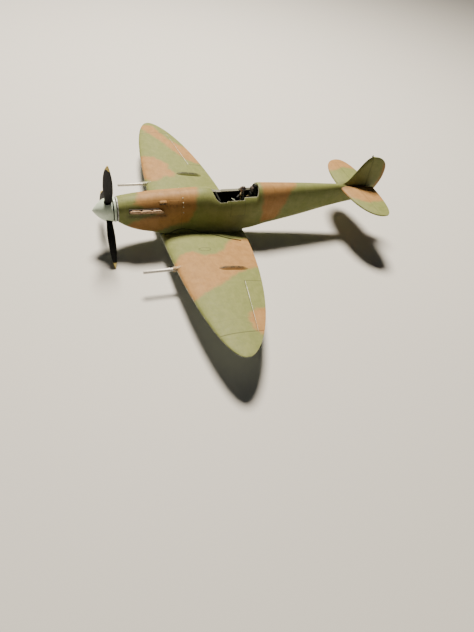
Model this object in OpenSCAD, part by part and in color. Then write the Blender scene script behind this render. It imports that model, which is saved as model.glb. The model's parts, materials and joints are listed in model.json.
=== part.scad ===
// Display model of an elliptical-wing, single-engine fighter, moulded in plastic at 1:72.
// Frame: nose towards -Y, port wing towards +X, +Z up, origin under the middle of the model.
// Modules work in airframe coordinates: X to port, Y aft from the spinner tip, Z from the
// propeller axis. place() moves them into the frame above.

/* [Overall] */
// Wing span, tip to tip
wing_span = 156; // [130:1:190]
// Length from the spinner tip to the trailing edge of the rudder
overall_length = 126; // [105:1:152]
// Height of the propeller axis above the flat undersides that the model rests on
thrust_height = 16.2; // [15.8:0.1:19]

/* [Fuselage] */
// Distance from the spinner tip to the front of the fuselage halves
nose_station = 9.4; // [8.8:0.1:12]
// Thickness of the moulded fuselage halves
skin = 0.9; // [0.7:0.05:1.1]
// Front of the cockpit opening
cockpit_front = 46.5; // [44:0.5:49]
// Length of the cockpit opening
cockpit_length = 19.5; // [18:0.5:23]
// Height of the front of the cockpit sills above the propeller axis
sill_z = 3.2; // [2.8:0.1:4.2]
// How far the sections would arch over the sills at the centreline
sill_camber = 2.2; // [1.8:0.1:2.8]
// How far the wing root fairing stands out of the fuselage side
fairing_reach = 3.4; // [2.8:0.1:4.2]
// Chord of the rudder at its widest
rudder_chord = 8.3; // [6.9:0.1:10]
// Height of the fin tip above the propeller axis
fin_height = 18.5; // [15.4:0.1:22.2]
// Height of the cockpit floor, measured from the propeller axis
floor_z = -4.6; // [-5:0.1:-4]
// Diameter of the aerial stub on the fin
stub_d = 0.6; // [0.4:0.05:0.8]
// Height of the aerial stub
stub_h = 0.8; // [0.6:0.1:1.2]

/* [Wing] */
// Distance from the spinner tip to the quarter-chord line
wing_station = 36.7; // [34:0.1:40]
// Leading edge ahead of the quarter-chord line, at the centre
le_reach = 11.3; // [9.5:0.1:12.5]
// Trailing edge behind the quarter-chord line, at the centre
te_reach = 24.6; // [20.5:0.1:26]
// Height of the chord line at the wing root
wing_root_z = -10.6; // [-10.8:0.1:-10.4]
// Half of the width of the flat centre section
centre_half_w = 7; // [6.5:0.1:8.4]
// Dihedral of the outer panels, in degrees
dihedral = 6.3; // [4:0.1:7.5]
// Thickness over chord at the root
root_thickness = 0.13; // [0.12:0.005:0.15]
// Thickness over chord at the tip
tip_thickness = 0.075; // [0.06:0.005:0.1]
// Thickness of the moulded wing panels
panel_wall = 0.9; // [0.7:0.05:1.1]

/* [Wheel wells] */
// Distance of the leg sockets from the centreline
socket_x = 12; // [10.5:0.1:13]
// Distance of the leg sockets from the spinner tip
socket_s = 34; // [32:0.1:38]
// Bore of the leg sockets
socket_d = 1.2; // [1:0.05:1.5]
// Thickness left above the leg sockets
socket_roof = 0.4; // [0.3:0.05:0.8]
// Distance of the wheel wells from the centreline
well_x = 24.4; // [22:0.1:26.5]
// Diameter of the wheel wells
well_d = 9.6; // [8:0.1:11]
// Width of the leg troughs
trough_w = 2.6; // [2:0.1:3.2]

/* [Tail] */
// Half span of the tailplane
tail_half_span = 23.2; // [19:0.1:27.8]
// Height of the tailplane above the propeller axis
tail_z = 4.5; // [4.2:0.1:5]
// Tailplane ahead of its tip, at the root
tail_le_reach = 10.2; // [8.5:0.1:11.5]
// Tailplane behind its tip, at the root
tail_te_reach = 5.9; // [4.9:0.1:6.6]

/* [Propeller] */
// Diameter of the propeller
propeller_d = 44.8; // [38:0.1:48]
// Diameter of the spinner at its base
spinner_d = 9.6; // [8.6:0.1:10.4]
// Length of the spinner
spinner_length = 7.3; // [6.8:0.1:8]
// Widest chord of a blade
blade_chord = 4.5; // [3.6:0.1:5]
// Diameter of the propeller shaft
shaft_d = 1.6; // [1.3:0.05:2]
// Radial running clearance of the shaft in its bearing
shaft_clearance = 0.05; // [0.03:0.01:0.08]
// Turn of the propeller at rest: how far one blade leans to port from upright, in degrees
rest_turn = 15.5; // [14:0.5:16]
// Number of blades
blade_count = 3; // [3:1:4]

/* [Armament] */
// Distance of the cannons from the centreline
cannon_x = 29.15; // [27:0.05:34]
// Distance of the muzzles from the spinner tip
muzzle_s = 13.8; // [12:0.1:17]
// Diameter of the cannon barrels
barrel_d = 1.3; // [1:0.05:1.6]
// Length of the barrels outside their fairings
barrel_length = 10.8; // [8:0.1:11.5]
// Diameter of a fairing at its front end
fairing_d = 1.9; // [1.7:0.05:2.4]

/* [Coolers and intakes] */
// Distance of the coolers from the centreline
cooler_x = 19; // [17:0.1:21]
// Width of the radiator housing
radiator_w = 9.6; // [8:0.1:11.5]
// Width of the oil cooler housing
oil_cooler_w = 5; // [4.4:0.1:6]
// Wall of the cooler housings
cooler_wall = 0.6; // [0.5:0.05:0.8]
// Length of the radiator housing
radiator_length = 15; // [12.5:0.1:18]
// Length of the oil cooler housing
oil_cooler_length = 12; // [10:0.1:14.4]
// Width of the air intake under the belly
intake_w = 3.2; // [2.8:0.1:4]

/* [Exhausts] */
// Distance from the spinner tip to the first exhaust stub
exhaust_s = 13.9; // [12.5:0.1:16]
// Spacing of the exhaust stubs
exhaust_pitch = 4.3; // [3.8:0.1:5.2]
// Height of the exhaust stubs above the propeller axis
exhaust_z = 1.6; // [1:0.1:2.4]

/* [Hidden] */
$fn = 48;

hinge_s = overall_length - rudder_chord;
cockpit_rear = cockpit_front + cockpit_length;
half_span = wing_span / 2;
spinner_r = spinner_d / 2;
shaft_r = shaft_d / 2;
bore_r = shaft_r + shaft_clearance;

GREEN = [0.42, 0.45, 0.30];
BROWN = [0.45, 0.30, 0.22];
SKY = [0.72, 0.78, 0.62];
BLACK = [0.08, 0.08, 0.08];
SILVER = [0.75, 0.75, 0.73];
RUST = [0.62, 0.45, 0.33];
INTERIOR = [0.12, 0.13, 0.12];

// Fuselage frames between the nose and the rudder post: [share of that length,
// top, bottom, half width, height of the widest point, squareness of the lower half]
FRAMES = [
  [0.000, 4.8, -4.9, 4.8, 0.0, 2.1],
  [0.030, 5.4, -7.1, 5.1, -0.2, 2.3],
  [0.065, 5.9, -8.7, 5.4, -0.4, 2.5],
  [0.105, 6.3, -9.8, 5.6, -0.6, 2.7],
  [0.145, 6.6, -10.5, 5.8, -0.9, 2.6],
  [0.225, 6.9, -11.3, 6.1, -1.5, 2.3],
  [0.300, 7.1, -11.4, 6.3, -2.0, 2.2],
  [0.375, 7.5, -11.4, 6.4, -2.2, 2.2],
  [0.450, 7.9, -11.5, 6.3, -2.2, 2.2],
  [0.525, 8.0, -11.1, 6.0, -2.0, 2.2],
  [0.620, 7.6, -9.5, 5.2, -1.5, 2.2],
  [0.730, 7.0, -7.2, 4.1, -0.6, 2.2],
  [0.830, 6.3, -4.8, 2.9, 0.4, 2.2],
  [0.920, 5.8, -3.0, 1.9, 1.2, 2.2],
  [1.000, 5.4, -1.8, 1.1, 1.8, 2.2]
];
// Outline of the fin ahead of the rudder post: [distance ahead of the post, share of the height]
FIN = [[13.6, 0], [10.6, 0.03], [8.4, 0.16], [6, 0.45], [3.8, 0.75], [1.7, 0.94], [0, 1]];

upper_power = 2.2;
ring_cols = 22;
fin_cols = 5;
fin_spread = 12;

// --- Curves -------------------------------------------------------------------------

function lerp(a, b, t) = a + (b - a) * t;
function clamp(v, low, high) = min(high, max(low, v));

// Smooth curve through column c of a table, whose column 0 rises or falls steadily
function rising(table) = table[1][0] > table[0][0];
function span_of(table, v, k = 0) =
  k >= len(table) - 2 || (rising(table) ? v < table[k + 1][0] : v > table[k + 1][0])
  ? k : span_of(table, v, k + 1);
function slope_at(table, k, c) =
  let (a = max(k - 1, 0), b = min(k + 1, len(table) - 1))
  (table[b][c] - table[a][c]) / (table[b][0] - table[a][0]);
function smooth_value(table, v, c) =
  let (
    k = span_of(table, v),
    h = table[k + 1][0] - table[k][0],
    t = clamp((v - table[k][0]) / h, 0, 1)
  )
  (2 * t ^ 3 - 3 * t ^ 2 + 1) * table[k][c]
  + (t ^ 3 - 2 * t ^ 2 + t) * h * slope_at(table, k, c)
  + (3 * t ^ 2 - 2 * t ^ 3) * table[k + 1][c]
  + (t ^ 3 - t ^ 2) * h * slope_at(table, k + 1, c);

// --- Solid between two matching grids of points -------------------------------------

function split_quad(q) = [[q[0], q[2], q[1]], [q[0], q[3], q[2]]];
function sheet_quads(n, m) = concat(
  [for (i = [0:n - 2], j = [0:m - 2])
    [i * m + j, (i + 1) * m + j, (i + 1) * m + j + 1, i * m + j + 1]],
  [for (i = [0:n - 2], j = [0:m - 2]) let (o = n * m)
    [o + i * m + j, o + i * m + j + 1, o + (i + 1) * m + j + 1, o + (i + 1) * m + j]],
  [for (i = [0:n - 2]) let (o = n * m)
    [i * m, o + i * m, o + (i + 1) * m, (i + 1) * m]],
  [for (i = [0:n - 2]) let (o = n * m, e = m - 1)
    [i * m + e, (i + 1) * m + e, o + (i + 1) * m + e, o + i * m + e]],
  [for (j = [0:m - 2]) let (o = n * m)
    [j, j + 1, o + j + 1, o + j]],
  [for (j = [0:m - 2]) let (o = n * m, e = (n - 1) * m)
    [e + j, o + e + j, o + e + j + 1, e + j + 1]]
);

// near and far are lists of rows of points; the solid fills the space between them
module sheet(near, far) {
  polyhedron(
    points = concat([for (row = near) each row], [for (row = far) each row]),
    faces = [for (q = sheet_quads(len(near), len(near[0]))) each split_quad(q)]
  );
}

module place() {
  translate([0, -overall_length / 2, thrust_height]) children();
}

module on_starboard() {
  mirror([1, 0, 0]) children();
}

// An outline in the side view, [distance aft, height], made w wide about x
module side_plate(outline, w, x = 0) {
  translate([x - w / 2, 0, 0])
    rotate([90, 0, 90])
      linear_extrude(w) polygon(outline);
}

// An outline in the front view, [x, height], made t thick from the station s
module front_plate(outline, t, s) {
  translate([0, s + t, 0])
    rotate([90, 0, 0])
      linear_extrude(t) polygon(outline);
}

// A rod along the fuselage, from station a to station b
module rod(a, b, r1, r2) {
  translate([0, a, 0])
    rotate([-90, 0, 0])
      cylinder(h = b - a, r1 = r1, r2 = r2);
}

// --- Wing surfaces ------------------------------------------------------------------

le_power = 2.3;
te_power = 1.6;
root_incidence = 2;
tip_incidence = -0.5;
camber = 0.02;
edge_half = 0.13;
wing_cols = 12;
tip_share = 0.998;
wing_root_x = 5.4;
pocket_start = 16;
pocket_end = 0.8;
pocket_slope = 3;

function out(x) = abs(x) / half_span;
function wing_le(x) = wing_station - le_reach * (1 - out(x) ^ le_power) ^ (1 / le_power);
function wing_te(x) = wing_station + te_reach * (1 - out(x) ^ te_power) ^ (1 / te_power);
function wing_plane(x) = wing_root_z + max(0, abs(x) - centre_half_w) * tan(dihedral);
function profile(u) =
  5 * (0.2969 * sqrt(u) - 0.126 * u - 0.3516 * u ^ 2 + 0.2843 * u ^ 3 - 0.1036 * u ^ 4);
function half_depth(x, u) =
  lerp(root_thickness, tip_thickness, out(x)) * (wing_te(x) - wing_le(x)) * profile(u)
  + edge_half;
// Height of the joint between the upper and lower panels, at a share u of the chord
function joint_z(x, u) =
  let (c = wing_te(x) - wing_le(x), s = wing_le(x) + u * c)
  wing_plane(x) + (wing_station - s) * tan(lerp(root_incidence, tip_incidence, out(x)))
  + 4 * camber * c * u * (1 - u);
function wing_point(x, u, rise) =
  [x, lerp(wing_le(x), wing_te(x), u), joint_z(x, u) + rise];
// Depth of the hollow moulded into the inner face of a panel
function pocket(x, u) =
  let (
    rim = min((u - 0.08) / 0.08, (0.92 - u) / 0.08,
      (abs(x) - pocket_start) / pocket_slope, (pocket_end - out(x)) * half_span / pocket_slope)
  )
  max(0, half_depth(x, u) - panel_wall) * clamp(rim, 0, 1);

chord_shares = [for (j = [0:wing_cols]) 1 - cos(90 * j / wing_cols)];
// Ribs of one wing, from the root out
wing_ribs = concat(
  [wing_root_x, centre_half_w, 9, 12, pocket_start, pocket_start + pocket_slope],
  [for (i = [1:13]) lerp(pocket_start + pocket_slope, half_span * tip_share, sin(90 * i / 13))]
);
all_ribs = concat([for (i = [len(wing_ribs) - 1:-1:0]) -wing_ribs[i]], wing_ribs);

function wing_rows(ribs, side, hollow) =
  [for (x = ribs)
    [for (u = chord_shares)
      wing_point(x, u, side * (hollow ? pocket(x, u) : half_depth(x, u)))]];

// The whole aerofoil between the first and the last of the given ribs
module wing_block(ribs) {
  sheet(wing_rows(ribs, 1, false), wing_rows(ribs, -1, false));
}

// All that lies above the lower surface of the wing
module above_wing(ribs) {
  sheet([for (row = wing_rows(ribs, -1, false)) [for (p = row) [p[0], p[1], p[2] + cut_deep]]],
    wing_rows(ribs, -1, false));
}

module wing_upper() {
  sheet(wing_rows(wing_ribs, 1, false), wing_rows(wing_ribs, 1, true));
}

// --- Fuselage surfaces --------------------------------------------------------------

function share(s) = clamp((s - nose_station) / (hinge_s - nose_station), 0, 1);
function frame_bottom(s) = smooth_value(FRAMES, share(s), 2);
function frame_half_w(s) = smooth_value(FRAMES, share(s), 3);
function frame_mid(s) = smooth_value(FRAMES, share(s), 4);
function frame_power(s, lower) = lower ? smooth_value(FRAMES, share(s), 5) : upper_power;

// Along the cockpit the upper curve is lower, so that it meets the sills
front_slope = 3.5;
front_round = 3.7;
rear_round = 1.2;
function dip(s) =
  let (
    a = clamp((s - cockpit_front + front_slope) / (front_slope + front_round), 0, 1),
    b = clamp((cockpit_rear + 0.1 - s) / rear_round, 0, 1)
  )
  a * a * (3 - 2 * a) * b;
function frame_top(s) =
  lerp(smooth_value(FRAMES, share(s), 1), sill_z + sill_camber, dip(s));

// A point on the plain section at station s, inset by t; angle 0 is the top, 180 the bottom
function section_point(s, angle, t) =
  let (
    p = 2 / frame_power(s, angle > 90),
    end = angle < 90 ? frame_top(s) - t : frame_bottom(s) + t
  )
  [(frame_half_w(s) - t) * sin(angle) ^ p,
    frame_mid(s) + (end - frame_mid(s)) * abs(cos(angle)) ^ p];
// Half width of the plain section at station s and height z, inset by t
function section_half_w(s, z, t) =
  let (
    mid = frame_mid(s),
    power = frame_power(s, z < mid),
    end = z > mid ? frame_top(s) - t : frame_bottom(s) + t,
    q = clamp(abs((z - mid) / (end - mid)), 0, 1)
  )
  (frame_half_w(s) - t) * (1 - q ^ power) ^ (1 / power);

// The sills rise aft in steps: [distance behind the front of the opening, rise]
SILL_STEPS = [[0, 0], [5.6, 0.35], [13.1, 1.1]];
step_ramp = 0.15;
function sill_rise(d, k = len(SILL_STEPS) - 1) =
  k == 0 || d > SILL_STEPS[k][0] + step_ramp ? SILL_STEPS[k][1] : sill_rise(d, k - 1);
// Angle at which the section is cut away for the cockpit, 0 where the opening is shut
function opening_angle(s) =
  let (
    a = clamp((cockpit_front + front_round - s) / front_round, 0, 1),
    b = clamp((s - cockpit_rear + rear_round) / rear_round, 0, 1),
    q = max(a, b),
    sill = sill_z + sill_rise(s - cockpit_front),
    level = (sill - frame_mid(s)) / (frame_top(s) - frame_mid(s))
  )
  s < cockpit_front || s > cockpit_rear ? 0
  : acos(clamp(level, 0, 1) ^ (upper_power / 2)) * sqrt(1 - q ^ 2);

// Wing root fairing: reach along the fuselage, and the height of its foot
fairing_lead = 3;
fairing_tail = 11;
fairing_rise = 1.7;
function fairing_w(s) =
  let (
    front = wing_le(0) - fairing_lead,
    rear = wing_te(0) + fairing_tail,
    t = clamp((s - front) / (wing_station - front), 0, 1),
    v = clamp((rear - s) / (rear - wing_te(0) + 8), 0, 1)
  )
  fairing_reach * sin(90 * t) * sin(90 * v) ^ 1.5;
function foot_z(s) =
  let (u = clamp((s - wing_le(0)) / (wing_te(0) - wing_le(0)), 0, 1))
  joint_z(0, u) + half_depth(0, u) + max(0, s - wing_te(0)) * 0.12;
function flare(s, z, angle) =
  let (q = z - foot_z(s))
  fairing_w(s) * (q > 0 ? exp(-(q / fairing_rise)) : max(0, 1 + q / 2.4))
  * clamp(2 * sin(angle), 0, 1) * clamp((angle - 60) / 30, 0, 1);

// Fin, which rises out of both fuselage halves ahead of the rudder post
fin_half_root = 0.95;
fin_half_tip = 0.45;
function fin_rise(s) =
  max(0, smooth_value(FIN, hinge_s - s, 1)) * (fin_height - frame_top(hinge_s));
function fin_half_w(z) =
  lerp(fin_half_root, fin_half_tip,
    clamp((z - frame_top(hinge_s)) / (fin_height - frame_top(hinge_s)), 0, 1));

// Outer points of one half at station s, from the top seam or the cockpit edge to the keel
function outer_row(s) =
  let (a0 = opening_angle(s), a1 = a0 + fin_spread, rise = fin_rise(s))
  [for (j = [0:ring_cols])
    let (
      on_fin = j <= fin_cols,
      a = on_fin ? lerp(a0, a1, j / fin_cols)
        : lerp(a1, 180, (j - fin_cols) / (ring_cols - fin_cols)),
      p = section_point(s, a, 0),
      drop = on_fin ? j / fin_cols : 1,
      z = p[1] + rise * (1 - drop),
      edge = rise > 0.01 && on_fin && j > 0 ? min(fin_half_w(z), 0.5 * sqrt(rise * drop)) : 0
    )
    [max(p[0], edge) + flare(s, p[1], a), s, z]];
function inner_row(s) =
  let (a0 = opening_angle(s), a1 = a0 + fin_spread)
  [for (j = [0:ring_cols])
    let (
      a = j <= fin_cols ? lerp(a0, a1, j / fin_cols)
        : lerp(a1, 180, (j - fin_cols) / (ring_cols - fin_cols)),
      p = section_point(s, a, min(skin, frame_half_w(s) * 0.6))
    )
    [p[0], s, p[1]]];

nose_stations = [for (i = [0:12]) lerp(nose_station, cockpit_front - 0.3, i / 12)];
front_stations = [for (a = [0:18:90]) cockpit_front + front_round * (1 - cos(a))];
step_stations = [for (k = [1:len(SILL_STEPS) - 1]) each
  [cockpit_front + SILL_STEPS[k][0], cockpit_front + SILL_STEPS[k][0] + 2 * step_ramp]];
sill_stations = concat([cockpit_front + 4], [step_stations[0], step_stations[1]],
  [cockpit_front + 8.4, cockpit_front + 10.6], [step_stations[2], step_stations[3]],
  [cockpit_rear - 3]);
rear_stations = [for (a = [90:-30:0]) cockpit_rear - rear_round * (1 - cos(a))];
opening_stations = concat(front_stations, sill_stations, rear_stations);
aft_stations = [for (i = [1:10])
  lerp(cockpit_rear + 0.2, hinge_s - FIN[0][0], i / 10 - (i == 1 ? 0.098 : 0))];
fin_stations = [for (i = [1:8]) hinge_s - FIN[0][0] * (1 - i / 8)];
stations = concat(nose_stations, opening_stations, aft_stations, fin_stations);

module half_shell(rows = stations) {
  sheet([for (s = rows) inner_row(s)], [for (s = rows) outer_row(s)]);
}

// The same half without its hollow, reaching past the centreline, to cut what lies on it
module solid_half(rows) {
  sheet([for (s = rows) [for (p = outer_row(s)) [-1, s, p[2]]]],
    [for (s = rows) outer_row(s)]);
}

module fuselage_half() {
  difference() {
    half_shell();
    wing_block(centre_ribs);
  }
}
centre_ribs = [-wing_root_x, wing_root_x, centre_half_w, 9, 12];

module fuselage_port() {
  color(GREEN) place() fuselage_half();
}

module fuselage_starboard() {
  color(GREEN) place() on_starboard() fuselage_half();
}

// --- Nose ---------------------------------------------------------------------------

plate_t = 0.5;
boss_r = 2;
boss_length = 1.6;
spinner_gap = 0.35;
backplate_t = 0.9;
groove = 0.5;
collar_r = 1.6;
collar_t = 0.8;
end_play = 0.2;
plate_s = nose_station - plate_t;
boss_end = nose_station + boss_length;
backplate_s = plate_s - spinner_gap - backplate_t;

module nose_bearing_plate() {
  color(SILVER) place() difference() {
    union() {
      rod(plate_s, nose_station, spinner_r - 0.1, spinner_r - 0.05);
      rod(nose_station, boss_end, boss_r, boss_r);
    }
    rod(plate_s - 1, boss_end + 1, bore_r, bore_r);
  }
}

// --- Wing panels --------------------------------------------------------------------

module wing_upper_port() {
  color(GREEN) place() wing_upper();
}

module wing_upper_starboard() {
  color(GREEN) place() on_starboard() wing_upper();
}

cut_top = 4;
cut_deep = 12;

module wheel_bay() {
  chord = wing_te(socket_x) - wing_le(socket_x);
  socket_end = joint_z(socket_x, (socket_s - wing_le(socket_x)) / chord) - socket_roof;
  translate([socket_x, socket_s, wing_root_z - cut_deep])
    cylinder(h = socket_end - wing_root_z + cut_deep, d = socket_d);
  translate([0, 0, wing_root_z - cut_deep]) {
    translate([well_x, socket_s + 1, 0]) cylinder(h = cut_deep + cut_top, d = well_d);
    translate([pocket_start, socket_s + 1 - trough_w / 2, 0])
      cube([well_x - pocket_start, trough_w, cut_deep + cut_top]);
  }
}

module wing_lower() {
  color(SKY) place() difference() {
    sheet(wing_rows(all_ribs, -1, true), wing_rows(all_ribs, -1, false));
    wheel_bay();
    on_starboard() wheel_bay();
  }
}

// --- Tail ---------------------------------------------------------------------------

tail_tip_s = hinge_s - 1.9;
tail_root_x = 0.5;
tail_thickness = 0.1;
tail_cols = 7;
tail_edge = 0.14;
function tail_le(x) =
  tail_tip_s - tail_le_reach * (1 - (x / tail_half_span) ^ 2.3) ^ (1 / 2.3);
function tail_te(x) =
  tail_tip_s + tail_te_reach * (1 - (x / tail_half_span) ^ 2.4) ^ (1 / 2.4);
function tail_row(x, side) =
  [for (j = [0:tail_cols])
    let (
      u = 1 - cos(90 * j / tail_cols),
      c = tail_te(x) - tail_le(x)
    )
    [x, tail_le(x) + u * c, tail_z + side * (tail_thickness * c * profile(u) + tail_edge)]];
tail_ribs = concat([tail_root_x, 2, 4],
  [for (i = [1:8]) lerp(4, tail_half_span * tip_share, sin(90 * i / 8))]);
tail_shell_stations = [for (s = stations) if (s > tail_tip_s - tail_le_reach - 9) s];

module tailplane() {
  difference() {
    sheet([for (x = tail_ribs) tail_row(x, 1)], [for (x = tail_ribs) tail_row(x, -1)]);
    solid_half(tail_shell_stations);
    translate([-2, hinge_s - 0.01, tail_z - 5])
      cube([2 + fin_half_root + 0.35, rudder_chord + 2, 10]);
  }
}

module tailplane_port() {
  color(GREEN) place() tailplane();
}

module tailplane_starboard() {
  color(GREEN) place() on_starboard() tailplane();
}

rudder_bottom = -1.6;
rudder_rows = 16;
rudder_cols = 5;
function rudder_reach(t) = rudder_chord * (0.3 + 0.7 * sin(clamp(t / 0.62, 0, 1) * 90) ^ 0.8)
  * (1 - max(0, (t - 0.62) / 0.38) ^ 2.6) ^ (1 / 2.1);
function rudder_row(t, side) =
  let (z = lerp(rudder_bottom, fin_height - 0.1, t), reach = max(0.6, rudder_reach(t)))
  [for (j = [0:rudder_cols])
    let (u = j / rudder_cols)
    [side * (fin_half_w(z) * (1 - u ^ 1.3) + 0.12), hinge_s + u * reach, z]];
rudder_shares = [for (i = [0:rudder_rows]) sin(90 * i / rudder_rows)];

module rudder() {
  color(GREEN) place()
    sheet([for (t = rudder_shares) rudder_row(t, -1)], [for (t = rudder_shares) rudder_row(t, 1)]);
}

module aerial_stub() {
  color(BLACK) place()
    translate([0, hinge_s - stub_d / 2 - 0.1, fin_height - 0.15])
      cylinder(h = stub_h, d1 = stub_d, d2 = stub_d * 0.7);
}

// --- Engine cowling details ---------------------------------------------------------

stub_length = 3.2;
stub_out = 1.5;
cowl_stations = [for (s = nose_stations) if (s < exhaust_s + 3 * exhaust_pitch + 8) s];

// One fishtail: a round neck at the cowling that spreads into a tall, thin mouth
module fishtail(s) {
  x = section_half_w(s, exhaust_z, 0);
  hull() {
    translate([x - 0.5, s, exhaust_z]) rotate([0, 90, 20]) cylinder(h = 1, r = 0.75, $fn = 24);
    translate([x + stub_out - 0.75, s + stub_length - 1, exhaust_z - 1])
      rotate([0, 0, 18]) cube([0.7, 1.1, 2]);
  }
}

module exhaust_set() {
  length = exhaust_pitch * 2 + stub_length;
  difference() {
    union() {
      for (i = [0:2]) fishtail(exhaust_s + i * exhaust_pitch);
      for (i = [0:1])
        translate([section_half_w(exhaust_s + i * length / 2, exhaust_z, 0) - 0.6,
            exhaust_s - 0.8 + i * length / 2, exhaust_z - 0.9])
          rotate([0, 0, -3]) cube([0.85, length / 2 + 0.3, 1.8]);
    }
    solid_half(cowl_stations);
  }
}

module exhaust_port() {
  color(RUST) place() exhaust_set();
}

module exhaust_starboard() {
  color(RUST) place() on_starboard() exhaust_set();
}

bump_s = 24.6;
bump_length = 3;
bump_angle = 46;
bump_stations = [for (s = nose_stations) if (abs(s - bump_s) < 8) s];

module cowl_bump() {
  p = section_point(bump_s, bump_angle, 0);
  color(GREEN) place() difference() {
    translate([p[0], bump_s, p[1]]) rotate([0, bump_angle - 8, 0]) hull() {
      translate([-0.7, 0, -1]) cube([1.4, bump_length, 1]);
      translate([-0.45, 0.4, 0.1]) cube([0.9, bump_length - 0.8, 0.45]);
    }
    solid_half(bump_stations);
  }
}

// --- Cannons ------------------------------------------------------------------------

cannon_z = joint_z(cannon_x, 0) + 0.35;
fairing_s = muzzle_s + barrel_length;
fairing_end_d = fairing_d + 0.4;
socket_depth = 1;
muzzle_bore = 0.5;
near_ribs = [for (x = wing_ribs) if (abs(x - cannon_x) < 14) x];

module cannon_barrel() {
  translate([cannon_x, 0, cannon_z]) difference() {
    rod(muzzle_s, fairing_s + socket_depth, barrel_d / 2, barrel_d / 2);
    rod(muzzle_s - 1, muzzle_s + 1.6, muzzle_bore / 2, muzzle_bore / 2);
  }
}

module cannon_fairing() {
  end = wing_le(cannon_x) + 3;
  difference() {
    translate([cannon_x, 0, cannon_z]) difference() {
      hull() {
        rod(fairing_s, fairing_s + 0.1, fairing_d / 2 - 0.1, fairing_d / 2);
        rod(end - 0.1, end, fairing_end_d / 2, fairing_end_d / 2);
      }
      rod(fairing_s - 1, fairing_s + socket_depth, barrel_d / 2, barrel_d / 2);
    }
    wing_block(near_ribs);
  }
}

blister_x = cannon_x + 4;
blister_s = wing_le(blister_x) + 14.6;
blister_length = 12;
blister_half_w = 1.35;
blister_h = 0.75;
blister_cols = 8;
blister_rows = 10;
function blister_row(i, base) =
  let (
    t = i / blister_rows,
    s = blister_s + blister_length * t,
    w = max(0.25, blister_half_w * sqrt(1 - (2 * t - 1) ^ 4)),
    u = (s - wing_le(blister_x)) / (wing_te(blister_x) - wing_le(blister_x))
  )
  [for (j = [0:blister_cols])
    let (v = 2 * j / blister_cols - 1, x = blister_x + v * w)
    [x, s, joint_z(x, u) + half_depth(x, u)
      + (base ? -0.5 : 0.12 + blister_h * (1 - (2 * t - 1) ^ 4) * (1 - v ^ 2))]];

module cannon_blister() {
  difference() {
    sheet([for (i = [0:blister_rows]) blister_row(i, true)],
      [for (i = [0:blister_rows]) blister_row(i, false)]);
    wing_block(near_ribs);
  }
}

module cannon_barrel_port() {
  color(SILVER) place() cannon_barrel();
}

module cannon_barrel_starboard() {
  color(SILVER) place() on_starboard() cannon_barrel();
}

module cannon_fairing_port() {
  color(BROWN) place() cannon_fairing();
}

module cannon_fairing_starboard() {
  color(BROWN) place() on_starboard() cannon_fairing();
}

module cannon_blister_port() {
  color(GREEN) place() cannon_blister();
}

module cannon_blister_starboard() {
  color(GREEN) place() on_starboard() cannon_blister();
}

// --- Coolers and intakes under the wing ---------------------------------------------

rest_z = -thrust_height;
cooler_s = 43;
cooler_ribs = [for (x = wing_ribs) if (x < cooler_x + 14) x];
cooler_slope = tan(20);
duct_depth = 3.4;

function duct_outline(length, inset) =
  let (front = cooler_s, flat_end = cooler_s + length * 0.78)
  [[front + inset * cooler_slope - (inset > 0 ? 1 : 0), rest_z + inset],
    [flat_end, rest_z + inset],
    [front + length + (inset > 0 ? 1 : 0), rest_z + inset + 1.3],
    [front + length + (inset > 0 ? 1 : 0), rest_z + (inset > 0 ? duct_depth : 8)],
    [front + 1.6 - (inset > 0 ? 1.6 : 0), rest_z + (inset > 0 ? duct_depth : 8)]];

module radiator_housing() {
  color(SKY) place() on_starboard() difference() {
    side_plate(duct_outline(radiator_length, 0), radiator_w, cooler_x);
    side_plate(duct_outline(radiator_length, cooler_wall),
      radiator_w - 2 * cooler_wall, cooler_x);
    above_wing(cooler_ribs);
  }
}

core_t = 0.8;

module radiator_core(s) {
  translate([cooler_x - radiator_w / 2 + cooler_wall, s, rest_z + cooler_wall])
    cube([radiator_w - 2 * cooler_wall, core_t, duct_depth - cooler_wall]);
}

module radiator_core_front() {
  color(BLACK) place() on_starboard() radiator_core(cooler_s + 4);
}

module radiator_core_rear() {
  color(BLACK) place() on_starboard() radiator_core(cooler_s + radiator_length * 0.6);
}

oil_r = oil_cooler_w / 2;
oil_axis_z = rest_z + oil_r - 0.3;
oil_bore_r = oil_r - cooler_wall;

module oil_cooler_housing() {
  color(SKY) place() difference() {
    translate([cooler_x, 0, 0]) intersection() {
      union() {
        translate([0, 0, oil_axis_z])
          rod(cooler_s, cooler_s + oil_cooler_length, oil_r, oil_r);
        translate([-oil_r, cooler_s, oil_axis_z]) cube([oil_cooler_w, oil_cooler_length, 6]);
      }
      translate([-oil_r, cooler_s, rest_z]) cube([oil_cooler_w, oil_cooler_length, 9]);
    }
    translate([cooler_x, 0, oil_axis_z])
      rod(cooler_s - 1, cooler_s + oil_cooler_length + 1, oil_bore_r, oil_bore_r);
    above_wing(cooler_ribs);
  }
}

module oil_cooler_core() {
  color(BLACK) place()
    translate([cooler_x, 0, oil_axis_z])
      rod(cooler_s + 2.5, cooler_s + 2.5 + core_t, oil_bore_r, oil_bore_r);
}

intake_s = 29.5;
intake_length = 11;
intake_drop = 1.7;
intake_r = intake_w / 2;
intake_z = -13.3;

module carburettor_intake() {
  color(SKY) place() difference() {
    hull() {
      translate([0, 0, intake_z]) rod(intake_s, intake_s + 5, intake_r, intake_r);
      translate([-intake_r, intake_s + 1, intake_z]) cube([intake_w, 4, 2.2]);
      translate([0, 0, intake_z + 1.5])
        rod(intake_s + intake_length - 1, intake_s + intake_length, 0.6, 0.4);
    }
    translate([0, 0, intake_z - 0.2]) rod(intake_s - 1, intake_s + 2.4, intake_r - 0.5, intake_r - 0.5);
    above_wing([-9, -wing_root_x, wing_root_x, 9]);
  }
}

// --- Cockpit ------------------------------------------------------------------------

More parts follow.
